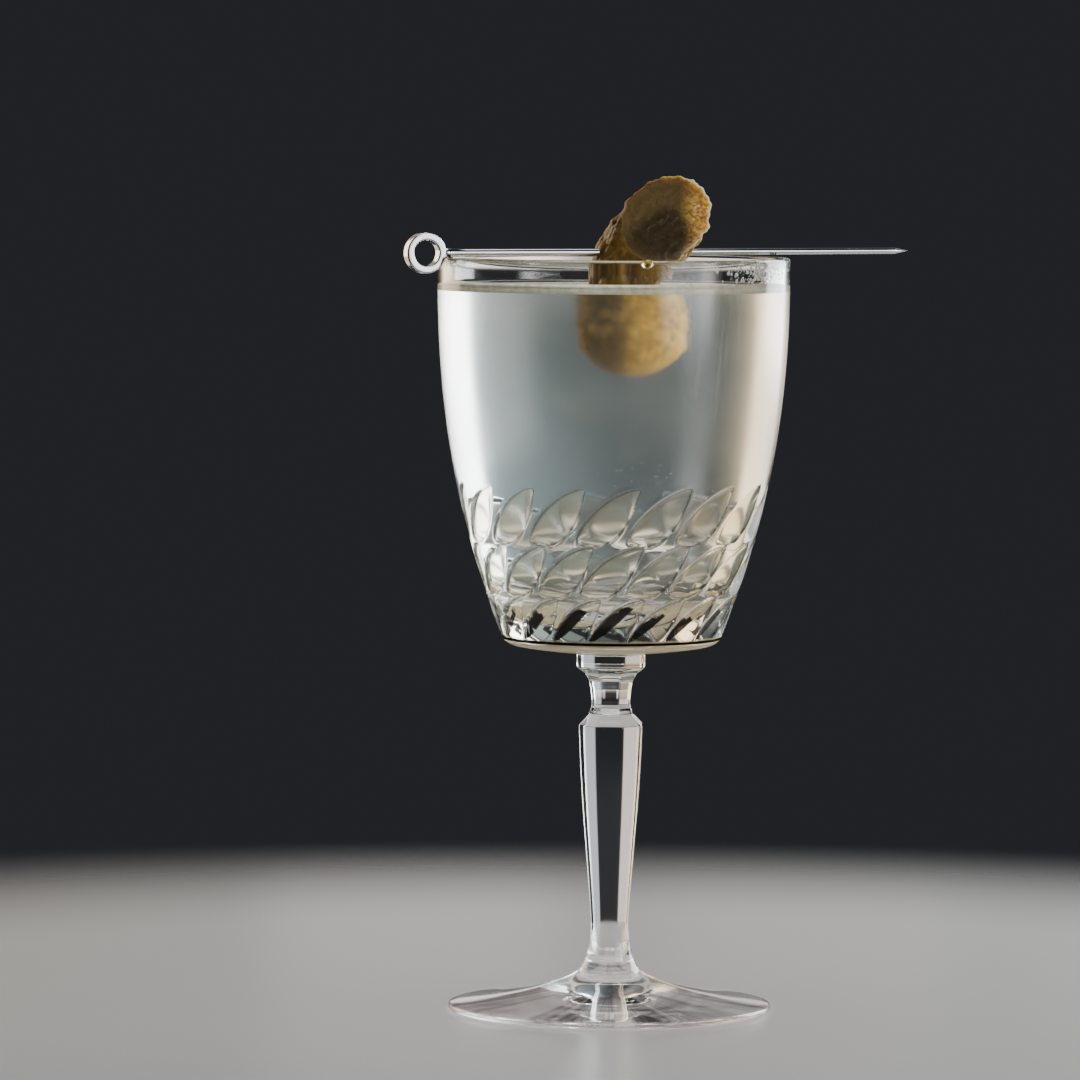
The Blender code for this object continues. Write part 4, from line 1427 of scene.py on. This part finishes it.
@dataclass
class Splashes:
    """What the brine left behind: a film at the waterline, drops on the rim and wall, and specks."""

    goblet: Goblet
    level: float = 157.0
    film_height: float = 1.5
    film_reach: float = 1.3
    film_behind: float = 0.04
    film_columns: int = 160
    drop_turns: Range = (8.6, 22.5)
    drop_radius: float = 1.05
    tail_radius: float = 0.42
    line_turns: Range = (-82.0, 84.0)
    line_radius: float = 0.14
    drops: int = 420
    drop_sizes: Range = (0.12, 0.45)
    drop_place: tuple = (58.0, 9.0, 161.0, 1.3)
    drop_limits: Range = (36.0, 84.0)
    specks: int = 45
    speck_reach: float = 29.7
    speck_heights: Range = (119.0, 153.0)
    speck_sizes: Range = (0.08, 0.18)
    wisp: int = 30
    wisp_place: tuple = ((5.5, -10.0, 119.5), (7.0, 9.0, 2.2))
    seed: int = 11

    def film(self, material: bpy.types.Material) -> bpy.types.Object:
        """Builds the pale film that the brine leaves at the waterline, full in front and thin behind.

        Its section is a fillet: it stands up the wall and lies on the drink, with a hollow face
        between that follows a quarter of an ellipse.
        """
        turn = steps_round(self.film_columns)
        wall = float(self.goblet.inner(self.level)) + 0.1
        arc = np.linspace(math.pi / 2, 0, 8)
        inward = np.append(1 - np.sin(arc), [1.0, 0.0])[:, None] * self.film_reach
        rise = np.append(1 - np.cos(arc), [0.0, 0.0])[:, None] * self.film_height
        drop = np.append(np.zeros(len(arc)), [0.6, 0.6])[:, None]
        near = self.film_behind + (1 - self.film_behind) * smooth_step(-np.sin(turn), -0.25, 0.5)
        radius = wall - inward * near
        height = self.level + rise * near - drop
        shape = Surface()
        shape.tube(around(radius, turn, height))
        return shape.to_object("waterline_film", material)

    def bead(
        self, name: str, material: bpy.types.Material, turns: tuple, radius: np.ndarray, height: float
    ) -> bpy.types.Object:
        """Builds a bead of liquid along the rim: circles of the given radii along an arc round the axis.

        Args:
            name: The piece's name.
            material: Its material.
            turns: Degrees from the viewer's side towards the right, at its two ends.
            radius: The circles' radii, evenly spaced along it.
            height: Height of the arc.

        Returns:
            The piece.
        """
        along = np.radians(np.linspace(*turns, len(radius)) - 90.0)
        round_it = steps_round(20)
        reach = self.goblet.rim_radius - 0.3 + radius[:, None] * np.cos(round_it)
        rings = around(reach, along[:, None], height + radius[:, None] * np.sin(round_it))
        shape = Surface()
        last = shape.begin(tuple(rings[0].mean(axis=0)), rings)
        shape.end(last, tuple(rings[-1].mean(axis=0)))
        return shape.to_object(name, material)

    def rim_drop(self, material: bpy.types.Material) -> bpy.types.Object:
        """Builds the drop on the near rim: an ellipse's half at its head and a tail that thins out."""
        share = np.linspace(0.004, 0.996, 60)
        head = self.drop_radius * np.sqrt(np.maximum(1 - ((share - 0.15) / 0.15) ** 2, 0.0))
        tail = self.tail_radius * smooth_step(share, 0.0, 0.15) * np.sqrt(1 - share)
        radius = np.maximum(head, tail)
        return self.bead("rim_drop", material, self.drop_turns, radius, self.goblet.rim_height - 0.75)

    def rim_line(self, material: bpy.types.Material) -> bpy.types.Object:
        """Builds the thin wet line that runs along the near rim."""
        share = np.linspace(0, 1, 120)
        radius = self.line_radius * np.sqrt(np.sin(math.pi * np.clip(share, 0.002, 0.998)))
        return self.bead("rim_line", material, self.line_turns, radius, self.goblet.rim_height - 0.55)

    def beads(
        self, name: str, material: bpy.types.Material, centres: np.ndarray, radii: np.ndarray, flat: float
    ) -> bpy.types.Object:
        """Builds many small ellipsoids, flattened along the way to the axis, as one piece.

        Args:
            name: The piece's name.
            material: Its material.
            centres: One centre to a row.
            radii: Their radii.
            flat: Their depth as a share of the radius.

        Returns:
            The piece.
        """
        polar = np.linspace(0, math.pi, 6)[1:-1, None]
        turn = steps_round(8)
        unit = np.moveaxis(around(np.sin(polar), turn, np.cos(polar)), -1, 0)
        inward = -centres * (1.0, 1.0, 0.0)
        inward /= np.maximum(np.linalg.norm(inward, axis=1, keepdims=True), 1e-6)
        aside = np.cross([0.0, 0.0, 1.0], inward)
        frame = np.stack([aside, np.broadcast_to([0.0, 0.0, 1.0], aside.shape), inward * flat])
        aimed = np.einsum("krc,knd->nrcd", unit, frame)
        points = centres[:, None, None] + radii[:, None, None, None] * aimed
        inwards = (radii[:, None] * flat * inward)[:, None]
        poles = centres[:, None] + inwards * np.array([1.0, -1.0])[:, None]
        shape = Surface()
        block, ends = shape.add(points), shape.add(poles)
        here, there = block[:, :-1], block[:, 1:]
        shape.join(here, there, np.roll(there, -1, axis=2), np.roll(here, -1, axis=2))
        first, last = block[:, 0], block[:, -1]
        start, end = (np.repeat(ends[:, which, None], 8, axis=1) for which in (0, 1))
        shape.join(start, first, np.roll(first, -1, axis=1))
        shape.join(last, end, np.roll(last, -1, axis=1))
        return shape.to_object(name, material)

    def wall_drops(self, material: bpy.types.Material) -> bpy.types.Object:
        """Builds the splashed drops inside the near wall at the right, drawn round one place."""
        draw = np.random.default_rng(self.seed)
        azimuth, spread, height, rise = self.drop_place
        turn = np.clip(draw.normal(azimuth, spread, self.drops), *self.drop_limits)
        turn = np.radians(turn - 90.0)
        z = np.clip(draw.normal(height, rise, self.drops), self.level + 1.4, self.goblet.rim_height - 1.2)
        small, large = self.drop_sizes
        radii = small + (large - small) * draw.random(self.drops) ** 3
        reach = self.goblet.inner(z) - 0.1 * radii
        return self.beads("wall_drops", material, around(reach, turn, z), radii, 0.5)

    def floating_specks(self, material: bpy.types.Material) -> bpy.types.Object:
        """Builds the specks in the drink, some strewn at random and some in a wisp above the cuts."""
        draw = np.random.default_rng(self.seed + 1)
        turn = draw.uniform(0, FULL_TURN, self.specks)
        reach = self.speck_reach * np.sqrt(draw.random(self.specks))
        strewn = around(reach, turn, draw.uniform(*self.speck_heights, self.specks))
        centre, spread = self.wisp_place
        wisp = draw.normal(centre, spread, (self.wisp, 3))
        small, large = self.speck_sizes
        radii = small + (large - small) * draw.random(self.specks + self.wisp) ** 2
        return self.beads("floating_specks", material, np.vstack([strewn, wisp]), radii, 0.8)


@dataclass(frozen=True)
class SoftBox:
    """A rectangular studio light that the camera doesn't see, turned to the drink."""

    name: str
    azimuth: float
    distance: float
    height: float
    width: float
    tall: float
    radiance: float
    tint: Light = (1.0, 1.0, 1.0)
    target: float = 0.11
    soft: float = 0.3

    def build(self) -> None:
        """Adds the light, which fades towards its edges.

        Its power is its radiance times pi times its area, and the fade is a smooth step of the
        distance from each edge.
        """
        lamp = bpy.data.lights.new(self.name, "AREA")
        lamp.shape = "RECTANGLE"
        lamp.size, lamp.size_y = self.width, self.tall
        lamp.energy = self.radiance * math.pi * self.width * self.tall
        lamp.color = self.tint
        lamp.use_nodes = True
        graph = Graph(lamp.node_tree)
        places = graph.node("SeparateXYZ", Vector=graph.node("NewGeometry").outputs["Parametric"])
        from_edge = (graph.math("PINGPONG", places.outputs[axis], 0.5) for axis in "XY")
        across, up = (graph.ramp(distance, 0.0, self.soft / 2) for distance in from_edge)
        light = graph.node("Emission", Strength=graph.math("MULTIPLY", across, up))
        graph.feed(graph.node("OutputLight").inputs["Surface"], light.outputs[0])
        made = bpy.data.objects.new(self.name, lamp)
        turn = math.radians(self.azimuth)
        made.location = (self.distance * math.sin(turn), self.distance * math.cos(turn), self.height)
        way = Vector((0.0, 0.0, self.target)) - made.location
        made.rotation_euler = way.to_track_quat("-Z", "Y").to_euler()
        made.visible_camera = False
        bpy.context.scene.collection.objects.link(made)


@dataclass(frozen=True)
class GlowPatch:
    """A soft-edged patch of light on the sheet: azimuths in degrees, heights in metres."""

    azimuths: Range
    heights: Range
    strength: float
    tint: Light
    fade: Range

    def strength_at(self, azimuth: np.ndarray, height: np.ndarray) -> np.ndarray:
        """Works out the strength: along each way it rises over one fade and falls over another.

        Args:
            azimuth: Azimuths in degrees.
            height: Heights in metres, of a shape that goes with the azimuths'.

        Returns:
            The strengths.
        """
        share = self.strength
        for value, (low, high), fade in zip((azimuth, height), (self.azimuths, self.heights), self.fade):
            share = share * smooth_step(value, low, low + fade) * (1 - smooth_step(value, high - fade, high))
        return share


@dataclass(frozen=True)
class GlowWall:
    """A curved sheet of soft glow behind the glass, seen only in it and through it.

    It carries on from the two strip lights towards the middle and upwards, as the spill round a
    studio light does. It lets everything through and only adds its own light.
    """

    distance: float = 0.7
    heights: Range = (-0.06, 0.8)
    reach: float = 80.0
    strip_edge: float = 30.0
    ends: Range = (46.0, 63.0)
    cool: Range = (1.7, 2.9)
    warm: Range = (1.2, 4.2)
    grid: tuple[int, int] = (321, 161)
    patches: tuple = (
        GlowPatch((-6.0, 80.0), (0.147, 0.9), 0.4, (0.72, 0.95, 1.0), (32.0, 0.005)),
        GlowPatch((-19.0, -8.5), (0.147, 0.5), 0.2, (0.95, 0.98, 1.0), (4.5, 0.005)),
        GlowPatch((-34.0, -19.5), (-0.2, 0.085), 0.6, (0.98, 0.95, 1.0), (3.0, 0.03)),
        GlowPatch((21.0, 36.0), (-0.2, 0.085), 0.3, (1.0, 0.92, 1.0), (3.0, 0.03)),
        GlowPatch((-60.0, 60.0), (0.072, 0.132), 0.55, (1.0, 0.93, 0.76), (25.0, 0.018)),
        GlowPatch((6.0, 60.0), (0.072, 0.147), 0.5, (1.0, 0.92, 0.76), (14.0, 0.02)),
        GlowPatch((-9.5, -0.8), (0.062, 0.122), 1.5, (1.0, 0.9, 0.87), (1.2, 0.02)),
        GlowPatch((0.8, 9.5), (0.062, 0.122), 0.8, (1.0, 0.9, 0.87), (1.2, 0.02)),
        GlowPatch((-70.0, 4.0), (0.19, 0.75), 0.2, (1.0, 0.9, 0.72), (26.0, 0.12)),
    )
    cool_tint: Light = (0.82, 0.95, 1.0)
    warm_tint: Light = (1.0, 0.76, 0.46)

    def build(self) -> bpy.types.Object:
        """Builds the sheet, with its glow worked out at each point.

        Each side's glow falls off with the exponential of the angle from its strip's edge, and
        the patches of glow are added to it.
        """
        azimuth = np.linspace(-self.reach, self.reach, self.grid[0])
        height = np.linspace(*self.heights, self.grid[1])[:, None]
        turn = np.radians(azimuth)[None, :]
        flat = np.stack([np.sin(turn), np.cos(turn), 0 * turn], axis=-1) * self.distance / MM
        points = flat + np.array([0.0, 0.0, 1.0]) * height[..., None] / MM
        glow = np.zeros(points.shape)
        for side, (most, fall), tint in ((1, self.cool, self.cool_tint), (-1, self.warm, self.warm_tint)):
            strength = most * np.exp(-np.maximum(self.strip_edge - side * azimuth, 0.0) / fall)
            strength *= 1 - smooth_step(np.abs(azimuth), *self.ends)
            glow += strength[None, :, None] * np.array(tint)
        for patch in self.patches:
            glow += patch.strength_at(azimuth[None, :], height)[..., None] * np.array(patch.tint)
        shape = Surface()
        numbers = shape.add(points)
        shape.join(numbers[:-1, :-1], numbers[:-1, 1:], numbers[1:, 1:], numbers[1:, :-1])

        material, graph, output = new_material("glow")
        stored = graph.node("Attribute", {"attribute_name": "glow"})
        light = graph.node("Emission", Color=stored.outputs["Color"])
        add = graph.node("AddShader")
        graph.feed(add.inputs[0], graph.node("BsdfTransparent").outputs[0])
        graph.feed(add.inputs[1], light.outputs[0])
        graph.feed(output.inputs["Surface"], add.outputs[0])
        material.cycles.emission_sampling = "NONE"
        made = shape.to_object("glow_wall", material)
        kept = made.data.attributes.new("glow", "FLOAT_VECTOR", "POINT")
        kept.data.foreach_set("vector", glow.astype(np.float32).ravel())
        for use in ("camera", "diffuse", "volume_scatter", "shadow"):
            setattr(made, f"visible_{use}", False)
        return made


@dataclass
class Studio:
    """The pale floor, the plain backdrop and the lights. Azimuth 0 is straight behind the glass."""

    floor_radius: float = 0.5
    floor_pale: float = 0.6
    fade: tuple = (0.17, 0.36)
    backdrop: tuple = (0.02, 0.021, 0.024, 1.0)
    lights: tuple = field(
        default_factory=lambda: (
            SoftBox("cool_strip_right", 47.0, 0.8, 0.32, 0.55, 0.64, 9.5, (0.95, 0.98, 1.0)),
            SoftBox("warm_strip_left", -47.0, 0.8, 0.32, 0.55, 0.64, 2.5, (1.0, 0.8, 0.54)),
            SoftBox("warm_side_right", 117.0, 0.7, 0.28, 0.28, 0.5, 8.5, (1.0, 0.93, 0.84), soft=1.0),
            SoftBox("top", 0.0, 0.02, 1.1, 0.7, 0.7, 3.2),
            SoftBox("front_right", 131.0, 0.9, 0.3, 0.8, 0.72, 2.8, (0.97, 0.97, 1.0), soft=0.5),
        )
    )

    def floor(self) -> bpy.types.Object:
        """Builds the floor: a round sheet just under the foot, pale by the glass."""
        radii = np.linspace(0.0, self.floor_radius, 12)[1:] / MM
        line = np.column_stack([radii, np.full(len(radii), -0.1)])
        shape = Surface()
        shape.begin((0.0, 0.0, -0.1), turned(line, steps_round(96)))
        material, graph, output = new_material("pale_floor")
        reach = graph.vector("LENGTH", graph.position()).outputs["Value"]
        away = graph.ramp(reach, *self.fade)
        pale = (self.floor_pale, self.floor_pale, self.floor_pale, 1.0)
        shader = graph.node("BsdfPrincipled", Base_Color=pale, Roughness=0.3)
        gone = graph.node("BsdfTransparent")
        graph.feed(output.inputs["Surface"], graph.over(away, shader.outputs[0], gone.outputs[0]))
        return shape.to_object("floor", material)

    def build(self) -> None:
        """Adds the floor, the backdrop's colour and the lights."""
        self.floor()
        GlowWall().build()
        world = bpy.data.worlds.new("studio")
        world.use_nodes = True
        world.node_tree.nodes["Background"].inputs["Color"].default_value = self.backdrop
        bpy.context.scene.world = world
        for light in self.lights:
            light.build()


@dataclass(frozen=True)
class PhotoCamera:
    """The camera, fitted to the rim, the foot and the leaf rows."""

    sensor: float = 36.0
    focal_pixels: float = 7025.0
    frame_pixels: float = 1080.0
    place: tuple[float, float, float] = (0.0, -1.5204, 0.1949)
    pitch: float = 3.49
    yaw: float = -0.59
    roll: float = 0.33

    def build(self) -> bpy.types.Object:
        """Adds the camera, looking along +Y, tipped down, turned and rolled by small angles."""
        pitch, yaw, roll = (math.radians(angle) for angle in (self.pitch, self.yaw, self.roll))
        ahead = math.cos(pitch)
        forward = Vector((math.sin(yaw) * ahead, math.cos(yaw) * ahead, -math.sin(pitch)))
        level = Vector((math.cos(yaw), -math.sin(yaw), 0.0))
        upright = level.cross(forward)
        right = level * math.cos(roll) + upright * math.sin(roll)
        up = upright * math.cos(roll) - level * math.sin(roll)
        data = bpy.data.cameras.new("camera")
        data.sensor_width = self.sensor
        data.lens = self.sensor * self.focal_pixels / self.frame_pixels
        made = bpy.data.objects.new("camera", data)
        rotation = Matrix((right, up, -forward)).transposed().to_4x4()
        made.matrix_world = Matrix.Translation(Vector(self.place)) @ rotation
        bpy.context.scene.collection.objects.link(made)
        bpy.context.scene.camera = made
        return made


def corners(box: tuple[Vector, Vector]) -> list[list[float]]:
    """Returns a box's two corners as plain lists of numbers."""
    return [list(corner) for corner in box]


def main() -> None:
    """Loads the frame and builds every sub-assembly in order."""
    logging.basicConfig(level=logging.INFO, format="%(name)s: %(message)s")
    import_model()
    PhotoCamera().build()
    Studio().build()

    smudges, mottle = smudge_group(), mottle_group()
    goblet, gherkin = Goblet(), Gherkin()
    glass_look = DewyGlassFinish().build(smudges)
    steel_look = SteelFinish().build(smudges)
    pick = Pick(goblet)
    place(goblet.build(glass_look), Slot.GLASS, Node.GLASS)
    place(Drink(goblet, gherkin).build(DrinkFinish().build()), Slot.DRINK, Node.DRINK)
    place(gherkin.build(GherkinFinish().build(mottle)), Slot.GHERKIN, Node.GHERKIN)
    place(pick.wire(steel_look), Slot.STEEL, Node.PICK)
    place(pick.ring(steel_look), Slot.STEEL, Node.PICK)
    splashes = Splashes(goblet)
    brine_look = ClearFinish("golden_brine", 1.36, (1.0, 0.84, 0.42, 1.0), 0.05).build(smudges)
    pale_look = PaleFinish("pale_film").build()
    place(splashes.film(pale_look), Slot.DRINK)
    place(splashes.rim_drop(brine_look), Slot.DRINK)
    place(splashes.rim_line(brine_look), Slot.DRINK)
    frosty_look = PaleFinish("frosty_drops", (1.0, 1.0, 1.0, 1.0), 0.15, 0.3).build()
    place(splashes.wall_drops(frosty_look), Slot.DRINK)
    speck_look = PaleFinish("pale_specks", (0.5, 0.58, 0.54, 1.0), 0.8).build()
    place(splashes.floating_specks(speck_look), Slot.DRINK)


if __name__ == "__main__":
    main()
